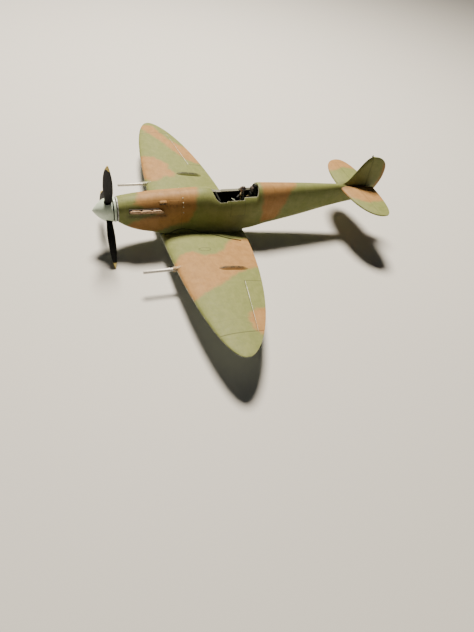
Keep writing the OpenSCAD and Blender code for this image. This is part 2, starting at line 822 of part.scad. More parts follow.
fit_gap = 0.03;
floor_t = 0.8;
floor_front = cockpit_front + 1.5;
bulkhead_s = cockpit_rear - 1.6;
bulkhead_t = 0.8;
panel_s = cockpit_front + 2.6;
panel_t = 0.6;

// Half of the inner width of the fuselage, a little clear of the moulded wall
function room(s, z) = section_half_w(s, z, skin) - fit_gap;
// Outline of the inner section at station s between two heights
function inner_outline(s, low, high) =
  let (zs = [for (i = [0:10]) lerp(low, high, i / 10)])
  concat([for (z = zs) [room(s, z), z]], [for (i = [10:-1:0]) [-room(s, zs[i]), zs[i]]]);

module cockpit_floor() {
  steps = [for (i = [0:5]) lerp(floor_front, bulkhead_s, i / 5)];
  half = [for (s = steps) [room(s, floor_z), s]];
  mirrored = [for (i = [5:-1:0]) [-half[i][0], half[i][1]]];
  color(INTERIOR) place()
    translate([0, 0, floor_z]) linear_extrude(floor_t) polygon(concat(half, mirrored));
}

bulkhead_top = frame_top(cockpit_rear + 1) - 0.4;
bulkhead_neck = 1;

module rear_bulkhead() {
  sill = sill_z + SILL_STEPS[2][1] - 0.3;
  body = inner_outline(bulkhead_s + bulkhead_t / 2, floor_z, sill);
  shoulder = (room(bulkhead_s, sill) + bulkhead_neck) / 2;
  shoulder_z = (sill + bulkhead_top) / 2 + 0.6;
  color(INTERIOR) place()
    front_plate(concat([for (p = body) if (p[0] > 0) p],
      [[shoulder, shoulder_z], [bulkhead_neck, bulkhead_top],
        [-bulkhead_neck, bulkhead_top], [-shoulder, shoulder_z]],
      [for (p = body) if (p[0] < 0) p]), bulkhead_t, bulkhead_s);
}

panel_bottom = 0;
panel_top = 3.4;

module instrument_panel() {
  color(BLACK) place() difference() {
    front_plate(inner_outline(panel_s + panel_t, panel_bottom, panel_top), panel_t, panel_s);
    for (x = [-2.4, 0, 2.4])
      translate([x, 0, 2.4]) rod(panel_s + panel_t - 0.25, panel_s + panel_t + 1, 0.6, 0.6);
    for (x = [-1.5, 1.5])
      translate([x, 0, 1]) rod(panel_s + panel_t - 0.25, panel_s + panel_t + 1, 0.55, 0.55);
  }
}

seat_w = 4.6;
seat_s = bulkhead_s - 5.2;
seat_depth = 4;
seat_wall = 0.5;
seat_base_z = floor_z + floor_t;
seat_pan_z = seat_base_z + 1.6;
seat_back_h = 5.6;

module seat() {
  color(INTERIOR) place() {
    translate([-seat_w / 2, seat_s, seat_base_z])
      cube([seat_w, seat_depth, seat_pan_z - seat_base_z + seat_wall]);
    side_plate([[seat_s + seat_depth - seat_wall, seat_base_z],
        [seat_s + seat_depth, seat_base_z],
        [bulkhead_s, seat_pan_z + seat_back_h],
        [bulkhead_s - seat_wall, seat_pan_z + seat_back_h]], seat_w);
    for (x = [-1, 1])
      side_plate([[seat_s, seat_pan_z], [seat_s + seat_depth, seat_pan_z],
          [seat_s + seat_depth + 0.3, seat_pan_z + 3], [seat_s + 1.2, seat_pan_z + 1.8]],
        seat_wall, x * (seat_w - seat_wall) / 2);
  }
}

headrest_z = 5;

module headrest() {
  color(BLACK) place() translate([0, bulkhead_s - 0.9, headrest_z]) hull() {
    translate([-0.9, 0, 0]) cube([1.8, 0.9, 1.6]);
    translate([-0.7, -0.25, 0.2]) cube([1.4, 0.3, 1.2]);
  }
}

column_s = seat_s - 2.2;
column_h = 4;
grip_r = 0.65;
grip_wire = 0.2;

module control_column() {
  color(BLACK) place() translate([0, column_s, seat_base_z]) {
    cylinder(h = column_h, r = 0.28);
    translate([0, 0, column_h + grip_r - 0.1]) rotate([90, 0, 0])
      rotate_extrude() translate([grip_r, 0]) circle(r = grip_wire);
  }
}

head_r = 1.2;
head_z = 6;
figure_s = seat_s + 0.7;
hip_z = seat_pan_z + seat_wall;
shoulder_z = head_z - 2.5;

module ball(p, r) {
  translate(p) sphere(r = r, $fn = 16);
}

// Seated figure: legs forward, arms on the column, head in a plain flying helmet
module pilot_figure() {
  color([0.3, 0.26, 0.22]) place() {
    hull() {
      translate([-1.3, figure_s - 0.8, hip_z]) cube([2.6, 1.6, 1]);
      translate([-1.5, figure_s - 0.5, shoulder_z - 1]) cube([3, 1.4, 1]);
      ball([0, figure_s + 0.2, shoulder_z + 0.3], 0.8);
    }
    hull() {
      ball([0, figure_s + 0.1, head_z], head_r);
      ball([0, figure_s - 0.25, head_z - 0.8], 0.8);
    }
    for (x = [-1, 1]) {
      hull() {
        ball([x * 0.8, figure_s - 0.4, hip_z + 0.62], 0.6);
        ball([x * 0.9, figure_s - 3.2, hip_z + 1], 0.5);
      }
      hull() {
        ball([x * 1.45, figure_s + 0.1, shoulder_z - 0.5], 0.5);
        ball([x * 1.3, figure_s - 1.6, shoulder_z - 2.3], 0.4);
      }
    }
  }
}

// --- Propeller ----------------------------------------------------------------------

hub_r = 2.3;
hub_front = 3.4;
hub_rear = spinner_length;
blade_s = 5.85;
tip_r = propeller_d / 2;
blade_root_r = 1.6;
blade_root_w = 2.7;
blade_gap = 0.06;
blade_hole_r = blade_width(spinner_r) / 2 + blade_gap;
spinner_wall = 0.7;
spinner_power = 0.86;
spinner_steps = 14;
blade_rows = 16;
blade_cols = 6;

function spinner_profile(r, length) =
  [for (i = [0:spinner_steps]) let (t = 1 - cos(90 * i / spinner_steps))
    [r * (1 - (1 - t) ^ 2) ^ spinner_power, length * t]];

module spinner() {
  inner_r = spinner_r - spinner_wall;
  base = spinner_length;
  color(SKY) place() difference() {
    rotate([-90, 0, 0]) rotate_extrude() difference() {
      polygon(concat(spinner_profile(spinner_r, base), [[0, base]]));
      polygon(concat([for (p = spinner_profile(inner_r, base - spinner_wall - 0.5))
          [p[0], p[1] + spinner_wall + 0.5]], [[inner_r, base + 1], [0, base + 1]]));
    }
    for (i = [0:blade_count - 1])
      translate([0, blade_s, 0]) rotate([0, rest_turn + i * 360 / blade_count, 0])
        cylinder(h = spinner_r + 1, r = blade_hole_r);
  }
}

module spinner_backplate() {
  color(SKY) place() difference() {
    union() {
      rod(spinner_length, backplate_s, spinner_r - groove, spinner_r - groove);
      rod(backplate_s, backplate_s + backplate_t, spinner_r, spinner_r);
    }
    rod(spinner_length - 1, backplate_s + backplate_t + 1, shaft_r, shaft_r);
  }
}

// Chord and pitch of a blade at radius r
function blade_width(r) =
  let (t = (r - blade_root_r) / (tip_r - blade_root_r))
  lerp(blade_root_w, blade_chord, sin(90 * clamp((t - 0.1) / 0.4, 0, 1)) ^ 1.4)
  * (1 - max(0, (t - 0.5) / 0.5) ^ 3 * 0.9);
function blade_pitch(r) = 60 - 26 * ((r - blade_root_r) / (tip_r - blade_root_r)) ^ 0.7;
function blade_half_t(r) = lerp(0.62, 0.2, ((r - blade_root_r) / (tip_r - blade_root_r)) ^ 0.5);
function blade_row(i, side) =
  let (
    r = lerp(blade_root_r, tip_r, sin(90 * i / blade_rows)),
    w = blade_width(r),
    a = blade_pitch(r)
  )
  [for (j = [0:blade_cols])
    let (
      v = 2 * j / blade_cols - 1,
      across = v * w / 2,
      thick = side * (blade_half_t(r) * sqrt(1 - v ^ 2 * 0.93))
    )
    [across * cos(a) + thick * sin(a), across * sin(a) - thick * cos(a), r]];

module propeller() {
  color(BLACK) place() translate([0, blade_s, 0]) difference() {
    union() {
      rod(hub_front - blade_s, hub_rear - blade_s, hub_r, hub_r);
      for (i = [0:blade_count - 1]) rotate([0, rest_turn + i * 360 / blade_count, 0])
        sheet([for (k = [0:blade_rows]) blade_row(k, -1)],
          [for (k = [0:blade_rows]) blade_row(k, 1)]);
    }
    rod(hub_front - blade_s - 1, hub_rear - blade_s + 1, shaft_r, shaft_r);
  }
}

collar_s = boss_end + end_play;

module propeller_shaft() {
  color(SILVER) place() rod(hub_front, collar_s + collar_t + 0.3, shaft_r, shaft_r);
}

module shaft_collar() {
  color(SILVER) place() difference() {
    rod(collar_s, collar_s + collar_t, collar_r, collar_r);
    rod(collar_s - 1, collar_s + collar_t + 1, shaft_r, shaft_r);
  }
}

fuselage_port();
fuselage_starboard();
nose_bearing_plate();
wing_lower();
wing_upper_port();
wing_upper_starboard();
tailplane_port();
tailplane_starboard();
rudder();
aerial_stub();
exhaust_port();
exhaust_starboard();
cowl_bump();
cannon_barrel_port();
cannon_barrel_starboard();
cannon_fairing_port();
cannon_fairing_starboard();
cannon_blister_port();
cannon_blister_starboard();
radiator_housing();
radiator_core_front();
radiator_core_rear();
oil_cooler_housing();
oil_cooler_core();
carburettor_intake();
cockpit_floor();
rear_bulkhead();
instrument_panel();
seat();
headrest();
control_column();
pilot_figure();
spinner();
spinner_backplate();
propeller();
propeller_shaft();
shaft_collar();
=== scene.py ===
"""Looks of the elliptical-wing model aircraft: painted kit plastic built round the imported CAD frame.

Surfaces are worked out in airframe millimetres: x to port, s aft from the spinner tip and z up
from the propeller axis. to_row() turns them into the frame's metres.
"""

import json
import math

import bmesh
import bpy
import numpy as np
from mathutils import Matrix, Vector


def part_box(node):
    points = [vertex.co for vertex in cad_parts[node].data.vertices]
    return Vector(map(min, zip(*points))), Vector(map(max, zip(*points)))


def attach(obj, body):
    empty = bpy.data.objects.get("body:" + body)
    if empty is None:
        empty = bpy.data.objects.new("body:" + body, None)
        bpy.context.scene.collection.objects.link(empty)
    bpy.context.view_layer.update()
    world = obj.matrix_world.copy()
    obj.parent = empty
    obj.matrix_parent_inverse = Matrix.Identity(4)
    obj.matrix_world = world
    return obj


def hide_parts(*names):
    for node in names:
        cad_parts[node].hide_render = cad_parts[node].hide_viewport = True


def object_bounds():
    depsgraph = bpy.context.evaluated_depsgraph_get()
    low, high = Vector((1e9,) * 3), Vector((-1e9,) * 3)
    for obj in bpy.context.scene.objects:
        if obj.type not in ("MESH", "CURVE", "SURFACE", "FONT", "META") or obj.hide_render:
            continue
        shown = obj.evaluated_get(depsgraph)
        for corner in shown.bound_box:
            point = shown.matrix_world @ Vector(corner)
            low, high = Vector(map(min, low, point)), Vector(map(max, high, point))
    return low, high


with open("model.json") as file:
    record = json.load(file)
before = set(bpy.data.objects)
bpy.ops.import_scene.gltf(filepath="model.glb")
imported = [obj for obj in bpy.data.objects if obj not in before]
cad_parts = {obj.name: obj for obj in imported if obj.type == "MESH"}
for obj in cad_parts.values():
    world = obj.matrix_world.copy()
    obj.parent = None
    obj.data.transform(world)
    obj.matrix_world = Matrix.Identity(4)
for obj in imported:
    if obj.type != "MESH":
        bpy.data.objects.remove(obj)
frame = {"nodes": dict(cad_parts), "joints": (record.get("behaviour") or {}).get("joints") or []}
cad_low, cad_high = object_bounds()

MM = 0.001
OVERALL_LENGTH = (cad_high.y - cad_low.y) / MM
HALF_SPAN = cad_high.x / MM
THRUST_HEIGHT = frame["joints"][0]["pos_m"][2] / MM
AIRFRAME, PROPELLER = "airframe", "propeller_unit"
MERGE_DISTANCE = 2e-7
SHARP_ANGLE, BEVEL_ANGLE = 42, 35
STRIP_W = 0.26


def to_row(points):
    points = np.asarray(points, float)
    return (points - (0, OVERALL_LENGTH / 2, -THRUST_HEIGHT)) * MM


# --- Shapes: each is (points, faces), in airframe millimetres -------------------------


def sheet_faces(n, m):
    """Faces of the closed solid between two n x m grids of points."""
    faces = []
    o = n * m
    for i in range(n - 1):
        for j in range(m - 1):
            a = i * m + j
            faces.append((a, a + 1, a + m + 1, a + m))
            faces.append((o + a, o + a + m, o + a + m + 1, o + a + 1))
        for j, flip in ((0, 1), (m - 1, 0)):
            a = i * m + j
            quad = (a, a + m, o + a + m, o + a)
            faces.append(quad[::-1] if flip else quad)
    for i, flip in ((0, 0), (n - 1, 1)):
        for j in range(m - 1):
            a = i * m + j
            quad = (a, a + 1, o + a + 1, o + a)
            faces.append(quad[::-1] if flip else quad)
    return faces


def sheet(near, far):
    near, far = np.asarray(near, float), np.asarray(far, float)
    n, m = near.shape[:2]
    return np.concatenate([near.reshape(-1, 3), far.reshape(-1, 3)]), sheet_faces(n, m)


def loft(rings):
    """A closed solid through rings with the same number of points."""
    rings = np.asarray(rings, float)
    n, m = rings.shape[:2]
    faces = [
        (i * m + j, i * m + (j + 1) % m, (i + 1) * m + (j + 1) % m, (i + 1) * m + j)
        for i in range(n - 1)
        for j in range(m)
    ]
    faces += [tuple(range(m))[::-1], tuple((n - 1) * m + j for j in range(m))]
    return rings.reshape(-1, 3), faces


def ring(centre, radius_a, radius_b, dir_a, dir_b, count=20, power=2):
    """A ring of points; power above 2 squares it off."""
    t = np.linspace(0, 2 * math.pi, count, endpoint=False)
    c, s = np.cos(t), np.sin(t)
    c, s = np.sign(c) * abs(c) ** (2 / power), np.sign(s) * abs(s) ** (2 / power)
    return (
        np.asarray(centre, float)
        + np.outer(c * radius_a, dir_a)
        + np.outer(s * radius_b, dir_b)
    )


def lathe(profile, centre=(0, 0), count=96):
    """A solid turned about a line along the fuselage, through (x, z) = centre, from (radius, s) pairs."""
    return loft(
        [
            ring((centre[0], s, centre[1]), r, r, (1, 0, 0), (0, 0, 1), count)
            for r, s in profile
        ]
    )


def tube(path, radius, count=12):
    """A rod along a path, with a radius for each point or for all of them."""
    path = np.asarray(path, float)
    radii = np.broadcast_to(radius, len(path))
    ahead = np.gradient(path, axis=0)
    rings = []
    for p, d, r in zip(path, ahead, radii):
        d = d / np.linalg.norm(d)
        side = np.cross(d, (0, 0, 1) if abs(d[2]) < 0.9 else (1, 0, 0))
        side /= np.linalg.norm(side)
        rings.append(ring(p, r, r, side, np.cross(d, side), count))
    return loft(rings)


def block(low, high):
    low, high = np.asarray(low, float), np.asarray(high, float)
    x, s, z = zip(low, high)
    return sheet(
        [[(a, b, z[0]) for b in s] for a in x], [[(a, b, z[1]) for b in s] for a in x]
    )


def ball(centre, radii, turn=0, count=16):
    """An ellipsoid; turn tips it about x, in degrees."""
    rings = []
    for t in np.linspace(-math.pi / 2 + 0.05, math.pi / 2 - 0.05, count):
        rings.append(
            ring(
                (0, 0, math.sin(t) * radii[2]),
                math.cos(t) * radii[0],
                math.cos(t) * radii[1],
                (1, 0, 0),
                (0, 1, 0),
                count,
            )
        )
    points, faces = loft(rings)
    tip = np.array(Matrix.Rotation(math.radians(turn), 3, "X"))
    return points @ tip.T + centre, faces


def joined(shapes):
    points, faces, start = [], [], 0
    for p, f in shapes:
        points.append(np.asarray(p, float))
        faces += [tuple(start + v for v in face) for face in f]
        start += len(p)
    return np.concatenate(points), faces


SIDE_NAMES = {1: "port", -1: "starboard"}


def on_side(shape, side):
    """The shape as drawn for port, or its mirror image for starboard."""
    points, faces = shape
    return shape if side > 0 else (points * (-1, 1, 1), [f[::-1] for f in faces])


def add_object(name, data):
    made = bpy.data.objects.new(name, data)
    bpy.context.scene.collection.objects.link(made)
    return made


def raw_mesh(name, shape):
    points, faces = shape
    mesh = bpy.data.meshes.new(name)
    mesh.from_pydata(to_row(points).tolist(), [], faces)
    return mesh


def turn_outward(mesh, merge=False):
    work = bmesh.new()
    work.from_mesh(mesh)
    if merge:
        bmesh.ops.remove_doubles(work, verts=work.verts, dist=MERGE_DISTANCE)
    bmesh.ops.recalc_face_normals(work, faces=work.faces)
    work.to_mesh(mesh)
    work.free()


def smooth_faces(mesh, sharp_angle=None):
    mesh.polygons.foreach_set("use_smooth", [True] * len(mesh.polygons))
    if sharp_angle:
        mesh.set_sharp_from_angle(angle=math.radians(sharp_angle))


def take_modified(made):
    """Replaces the object's mesh with what its modifiers make of it, and drops them."""
    bpy.context.view_layer.update()
    result = bpy.data.meshes.new_from_object(made.evaluated_get(bpy.context.evaluated_depsgraph_get()))
    made.modifiers.clear()
    made.data = result


def piece(
    name, shape, material, slot, body=AIRFRAME, stands_for=(), attributes=None, angle=SHARP_ANGLE
):
    """Makes the object, gives it its attributes and material, and puts it on its body."""
    mesh = raw_mesh(name, shape)
    for key, values in (attributes or {}).items():
        layer = mesh.attributes.new(key, "FLOAT", "POINT")
        layer.data.foreach_set("value", np.asarray(values, np.float32).ravel())
    turn_outward(mesh, merge=True)
    smooth_faces(mesh, angle)
    mesh.materials.append(material)
    made = add_object(name, mesh)
    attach(made, body)
    if stands_for:
        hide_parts(*stands_for)
    return made


def painted_piece(name, shape, side, **how):
    """A camouflaged piece, mirrored for starboard."""
    return piece(name, on_side(shape, side), CAMOUFLAGE, "camouflage_green", **how)


def soften(made, width):
    bevel = made.modifiers.new("softened", "BEVEL")
    bevel.width = width * MM
    bevel.segments = 2
    bevel.limit_method = "ANGLE"
    bevel.angle_limit = math.radians(BEVEL_ANGLE)


def cut(made, *shapes):
    """Cuts shapes out of a finished piece, and leaves no modifier behind."""
    for shape in shapes:
        mesh = raw_mesh("cutter", shape)
        turn_outward(mesh)
        cutter = add_object("cutter", mesh)
        boolean = made.modifiers.new("cut", "BOOLEAN")
        boolean.operation = "DIFFERENCE"
        boolean.solver = "EXACT"
        boolean.object = cutter
        take_modified(made)
        bpy.data.objects.remove(cutter)
    smooth_faces(made.data, SHARP_ANGLE)


# --- Engraved lines on a grid ---------------------------------------------------------

LINE_HALF_W = 0.2
LINE_DEPTH = 0.09


def grid_values(low, high, count, lines, half_w, curve=lambda t: t):
    """Grid positions between low and high, with four at each line so that it comes out crisp."""
    base = low + (high - low) * curve(np.linspace(0, 1, count))
    keep = [v for v in base if all(abs(v - c) > 1.6 * half_w for c in lines)]
    extra = [c + k * half_w for c in lines for k in (-1, -0.45, 0.45, 1)]
    return np.array(sorted({low, high, *keep, *extra}))


def groove(values, centre, half_w):
    return np.clip((half_w - abs(values - centre)) / (0.55 * half_w), 0, 1)


def window(values, low, high, soft):
    return np.clip((values - low) / soft + 1, 0, 1) * np.clip(
        (high - values) / soft + 1, 0, 1
    )


def fade(distance, width):
    """One at distance 0, falling away softly within about width."""
    return np.exp(-((distance / width) ** 2))


# --- Where the brown paint lies: outlines in the plane of each surface -----------------

WING_BROWN = [
    # port: the band from the leading edge to the root of the trailing edge
    [(26.5, 21), (26.4, 25.5), (22.6, 29.2), (21.3, 33.3), (24.6, 37.6), (24.2, 42.6), (21, 47),
     (16.4, 49.4), (13.2, 53), (11, 64), (33, 64), (32.4, 55.4), (34.6, 51.6), (36.6, 47.4),
     (40, 42.6), (43.6, 37.2), (46, 32.6), (48.2, 28.6), (49.5, 22)],
    # port: the patch at the outer end of the aileron
    [(56.6, 56), (56.8, 47.4), (58.6, 43.9), (62, 42.3), (66.4, 42.5), (68.9, 44.2), (71, 48)],
    # starboard: the patch on the leading edge
    [(-33.6, 21), (-32.4, 26.4), (-29.2, 28.2), (-28.8, 31.4), (-31.4, 34.4), (-31, 39),
     (-34, 40.4), (-36.8, 37.6), (-40.6, 38.6), (-43.6, 35.8), (-46.6, 33), (-48.4, 29), (-50, 21)],
    # starboard: the diagonal from the tip to the trailing edge
    [(-75.4, 31.5), (-71, 32.6), (-66.4, 35), (-61.5, 38.5), (-54, 42.6), (-48.5, 45.8), (-45, 49),
     (-43, 52.5), (-42, 64), (-55, 64), (-57, 49), (-62, 43.4), (-68.6, 40.2), (-74.4, 38)],
    # starboard: the root of the trailing edge
    [(-18, 64), (-17, 58.4), (-13.5, 55), (-10, 55), (-8, 64)],
]
TAIL_BROWN = [
    [(0, 96), (5.4, 103.6), (9, 106.4), (12.4, 109.4), (13.7, 113), (13.2, 117), (12, 126), (0, 126)],
    [(-12.4, 100), (-13, 110.6), (-15.4, 114.6), (-14.6, 118), (-13, 126), (-26, 126), (-26, 100)],
]
# station against girth from the top seam, port positive
BODY_BROWN = [
    [(17.2, -4), (16.8, 1), (15.4, 4), (18.6, 6.4), (23.4, 7.2), (23, 9.4), (14.6, 11.4),
     (12.4, 14), (15, 18.4), (24, 18), (29, 15.4), (36.6, 13.6), (38.6, 9), (39.2, 5), (40.4, 1),
     (41, -4), (40, -9), (34, -15), (25, -17), (20, -11)],
    [(67.6, -4), (67.4, 3), (67.6, 9), (68, 18), (75, 17), (76.6, 11), (78.6, 7.4), (80.4, 3.6),
     (83.4, 0.8), (85, -3), (83, -9), (76, -12), (69, -9)],
    [(45, -22), (50, -11), (58, -9), (60, -15), (56, -24)],
    [(98, -16), (96, -7), (101, -5), (105, -9), (104, -16)],
]
# station against height
FIN_BROWN = [[(124.4, 15), (124.6, 9), (122.8, 3), (120.6, -4), (129, -4), (129, 15)]]


def distance_into(outlines, a, b):
    """How far points (a, b) lie inside the nearest outline; negative outside."""
    p = np.stack([np.ravel(a), np.ravel(b)], 1)
    best = np.full(len(p), -1e3)
    for outline in outlines:
        v = np.array(outline, float)
        inside = np.zeros(len(p), bool)
        nearest = np.full(len(p), 1e9)
        for q, r in zip(v, np.roll(v, -1, 0)):
            edge = r - q
            t = np.clip(((p - q) @ edge) / (edge @ edge), 0, 1)
            nearest = np.minimum(
                nearest, np.linalg.norm(p - q - t[:, None] * edge, axis=1)
            )
            if q[1] != r[1]:
                crosses = (q[1] > p[:, 1]) != (r[1] > p[:, 1])
                inside ^= crosses & (
                    p[:, 0] < (r[0] - q[0]) * (p[:, 1] - q[1]) / (r[1] - q[1]) + q[0]
                )
        best = np.maximum(best, np.where(inside, nearest, -nearest))
    return best


# paint layers per point: brown camouflage, dark wash in lines, worn edges with painted highlights, painted
# shade with exhaust soot, and the cockpit inside
PAINT_LAYERS = ("brown", "line", "wear_and_highlight", "shade_and_soot", "inside")


def sheet_paint(near, far):
    """Paint attributes of a sheet from those of its two grids; what a grid doesn't name is zero."""
    bare = np.zeros(next(iter(far.values())).size)
    return {
        key: np.concatenate([np.ravel(grid.get(key, bare)) for grid in (near, far)])
        for key in PAINT_LAYERS
    }


# --- Materials ------------------------------------------------------------------------

NOISE_ROUGHNESS = 0.55


class Nodes:
    """A material's node tree, with short calls for the nodes used here."""

    def __init__(self, name):
        self.material = bpy.data.materials.new(name)
        self.material.use_nodes = True
        self.tree = self.material.node_tree
        self.tree.nodes.clear()
        self.shader = self.add("ShaderNodeBsdfPrincipled")
        output = self.add("ShaderNodeOutputMaterial")
        self.link(self.shader.outputs["BSDF"], output.inputs["Surface"])
        self.place = self.add("ShaderNodeTexCoord").outputs["Object"]

    def add(self, kind, **settings):
        node = self.tree.nodes.new(kind)
        for key, value in settings.items():
            setattr(node, key, value)
        return node

    def link(self, source, target):
        self.tree.links.new(source, target)

    def put(self, socket, value):
        if isinstance(value, bpy.types.NodeSocket):
            self.link(value, socket)
        else:
            socket.default_value = value

    def noise(self, size, detail=3, stretch=(1, 1, 1), warp=0):
        """Noise from 0 to 1 whose blobs are about size millimetres."""
        mapping = self.add("ShaderNodeMapping")
        mapping.inputs["Scale"].default_value = [k / (size * MM) for k in stretch]
        self.link(self.place, mapping.inputs["Vector"])
        node = self.add("ShaderNodeTexNoise")
        node.inputs["Scale"].default_value = 1
        node.inputs["Detail"].default_value = detail
        node.inputs["Roughness"].default_value = NOISE_ROUGHNESS
        node.inputs["Distortion"].default_value = warp
        self.link(mapping.outputs[0], node.inputs["Vector"])
        return node.outputs["Fac"]

    def math(self, operation, a, b=0.0):
        node = self.add("ShaderNodeMath", operation=operation)
        self.put(node.inputs[0], a)
        self.put(node.inputs[1], b)
        return node.outputs[0]

    def range(self, value, low, high, to_low=0.0, to_high=1.0):
        node = self.add("ShaderNodeMapRange", interpolation_type="SMOOTHSTEP")
        for socket, v in zip(node.inputs, (value, low, high, to_low, to_high)):
            self.put(socket, v)
        return node.outputs[0]

    def mix(self, share, a, b, blend="MIX"):
        node = self.add("ShaderNodeMix", data_type="RGBA", blend_type=blend)
        self.put(node.inputs[0], share)
        for socket, v in ((node.inputs[6], a), (node.inputs[7], b)):
            self.put(socket, (*v, 1) if isinstance(v, tuple) and len(v) == 3 else v)
        return node.outputs[2]

    def attribute(self, name):
        return self.add("ShaderNodeAttribute", attribute_name=name).outputs["Fac"]

    def bump(self, height, distance, strength):
        node = self.add("ShaderNodeBump")
        node.inputs["Distance"].default_value = distance * MM
        node.inputs["Strength"].default_value = strength
        self.link(height, node.inputs["Height"])
        return node.outputs[0]

    def finish(
        self, colour, roughness, normal=None, metallic=0.0, specular=0.4, coat=0.0
    ):
        self.put(
            self.shader.inputs["Base Color"],
            (*colour, 1) if isinstance(colour, tuple) else colour,
        )
        self.put(self.shader.inputs["Roughness"], roughness)
        self.put(self.shader.inputs["Metallic"], metallic)
        self.shader.inputs["Specular IOR Level"].default_value = specular
        self.shader.inputs["Coat Weight"].default_value = coat
        if normal:
            self.link(normal, self.shader.inputs["Normal"])
        return self.material


GREEN_A, GREEN_B = (0.185, 0.21, 0.066), (0.22, 0.24, 0.084)
BROWN_A, BROWN_B = (0.335, 0.18, 0.06), (0.4, 0.22, 0.08)
UNDER_A, UNDER_B = (0.38, 0.43, 0.36), (0.47, 0.51, 0.43)
# pale plastic showing at chipped edges, also used as painted highlight
CHIPPED_EDGE_AND_HIGHLIGHT = (0.58, 0.58, 0.47)
# dark wash for engraved lines, also the colour of painted shade
SHADOW_WASH = (0.022, 0.022, 0.016)
INSIDE = (0.012, 0.013, 0.011)


def brushed_paint(name, camouflaged):
    """Matt acrylic put on by brush: streaks, soft colour edges, dark wash in engraved lines, chipped
    edges, with painted shade and painted highlights where a piece marks them.
    """
    n = Nodes(name)
    patch = n.noise(2.6, 3, warp=0.4)
    mottle = n.noise(0.9, 4)
    streak = n.noise(0.6, 3, stretch=(0.22, 1, 1))
    fine = n.noise(0.22, 2)
    if camouflaged:
        green = n.mix(n.range(patch, 0.3, 0.7), GREEN_A, GREEN_B)
        brown = n.mix(n.range(patch, 0.3, 0.7), BROWN_B, BROWN_A)
        wander = n.math("MULTIPLY", n.math("SUBTRACT", patch, 0.5), 2.2)
        edge = n.math("MULTIPLY", n.math("SUBTRACT", mottle, 0.5), 1.1)
        into = n.math("ADD", n.attribute("brown"), n.math("ADD", wander, edge))
        colour = n.mix(n.range(into, -1.1, 1.1), green, brown)
    else:
        colour = n.mix(n.range(patch, 0.3, 0.7), UNDER_A, UNDER_B)
    tone = n.range(streak, 0.25, 0.75, 0.95, 1.04)
    tone = n.math("MULTIPLY", tone, n.range(mottle, 0.2, 0.8, 0.94, 1.05))
    grey = n.add("ShaderNodeCombineColor")
    for socket in grey.inputs[:3]:
        n.link(tone, socket)
    colour = n.mix(1.0, colour, grey.outputs[0], "MULTIPLY")
    # painted shade, and soot by the exhausts, darkening the paint where a piece marks it
    shade_and_soot = n.math(
        "MULTIPLY", n.attribute("shade_and_soot"), n.range(mottle, 0.25, 0.7, 0.55, 1.0)
    )
    colour = n.mix(shade_and_soot, colour, SHADOW_WASH)
    line = n.math(
        "MULTIPLY", n.attribute("line"), n.range(streak, 0.2, 0.6, 0.45, 0.8)
    )
    colour = n.mix(line, colour, SHADOW_WASH)
    # pale bare plastic at chipped edges; where a piece asks for it, the same pale colour is a painted
    # highlight
    chips_and_highlight = n.math(
        "ADD", n.attribute("wear_and_highlight"), n.math("MULTIPLY", n.math("SUBTRACT", fine, 0.5), 1.5)
    )
    bare = n.range(n.math("ADD", chips_and_highlight, n.math("SUBTRACT", patch, 0.5)), 0.62, 0.78)
    bare = n.math("MULTIPLY", bare, n.range(n.attribute("wear_and_highlight"), 0.02, 0.1))
    colour = n.mix(bare, colour, CHIPPED_EDGE_AND_HIGHLIGHT)
    colour = n.mix(n.attribute("inside"), colour, INSIDE)
    roughness = n.range(mottle, 0.2, 0.8, 0.5, 0.68)
    height = n.math("ADD", streak, n.math("MULTIPLY", fine, 0.5))
    height = n.math("SUBTRACT", height, n.math("MULTIPLY", bare, 0.8))
    return n.finish(colour, roughness, n.bump(height, 0.03, 0.45), specular=0.22)


def flat_paint(
    name, dark, light, roughness=0.6, size=0.8, depth=0.02, metallic=0.0, coat=0.0, specular=0.4
):
    """Hand-brushed single colour with some variation in tone and gloss."""
    n = Nodes(name)
    blotch = n.noise(size, 4, warp=0.3)
    grain = n.noise(size * 0.3, 3)
    colour = n.mix(n.range(blotch, 0.3, 0.7), dark, light)
    rough = n.range(grain, 0.2, 0.8, roughness - 0.08, roughness + 0.1)
    return n.finish(
        colour, rough, n.bump(grain, depth, 0.5), metallic=metallic, coat=coat, specular=specular
    )


def blade_paint(name):
    """Matt black with hand-painted yellow tips, found by the distance from the shaft."""
    n = Nodes(name)
    centred = n.add("ShaderNodeVectorMath", operation="SUBTRACT")
    n.link(n.place, centred.inputs[0])
    centred.inputs[1].default_value = (0, 0, THRUST_HEIGHT * MM)
    flat = n.add("ShaderNodeVectorMath", operation="MULTIPLY")
    n.link(centred.outputs[0], flat.inputs[0])
    flat.inputs[1].default_value = (1, 0, 1)
    length = n.add("ShaderNodeVectorMath", operation="LENGTH")
    n.link(flat.outputs[0], length.inputs[0])
    ragged = n.math("MULTIPLY", n.math("SUBTRACT", n.noise(0.9, 3), 0.5), 0.0011)
    radius = n.math("ADD", length.outputs["Value"], ragged)
    tip = n.range(radius, YELLOW_FROM * MM, (YELLOW_FROM + 0.25) * MM)
    grain = n.noise(0.3, 3)
    black = n.mix(n.range(n.noise(1.4), 0.3, 0.7), (0.004, 0.004, 0.005), (0.01, 0.01, 0.011))
    yellow = n.mix(n.range(grain, 0.3, 0.75), (0.58, 0.42, 0.1), (0.74, 0.62, 0.26))
    colour = n.mix(tip, black, yellow)
    return n.finish(
        colour, n.range(grain, 0.2, 0.8, 0.5, 0.7), n.bump(grain, 0.02, 0.5), specular=0.15
    )


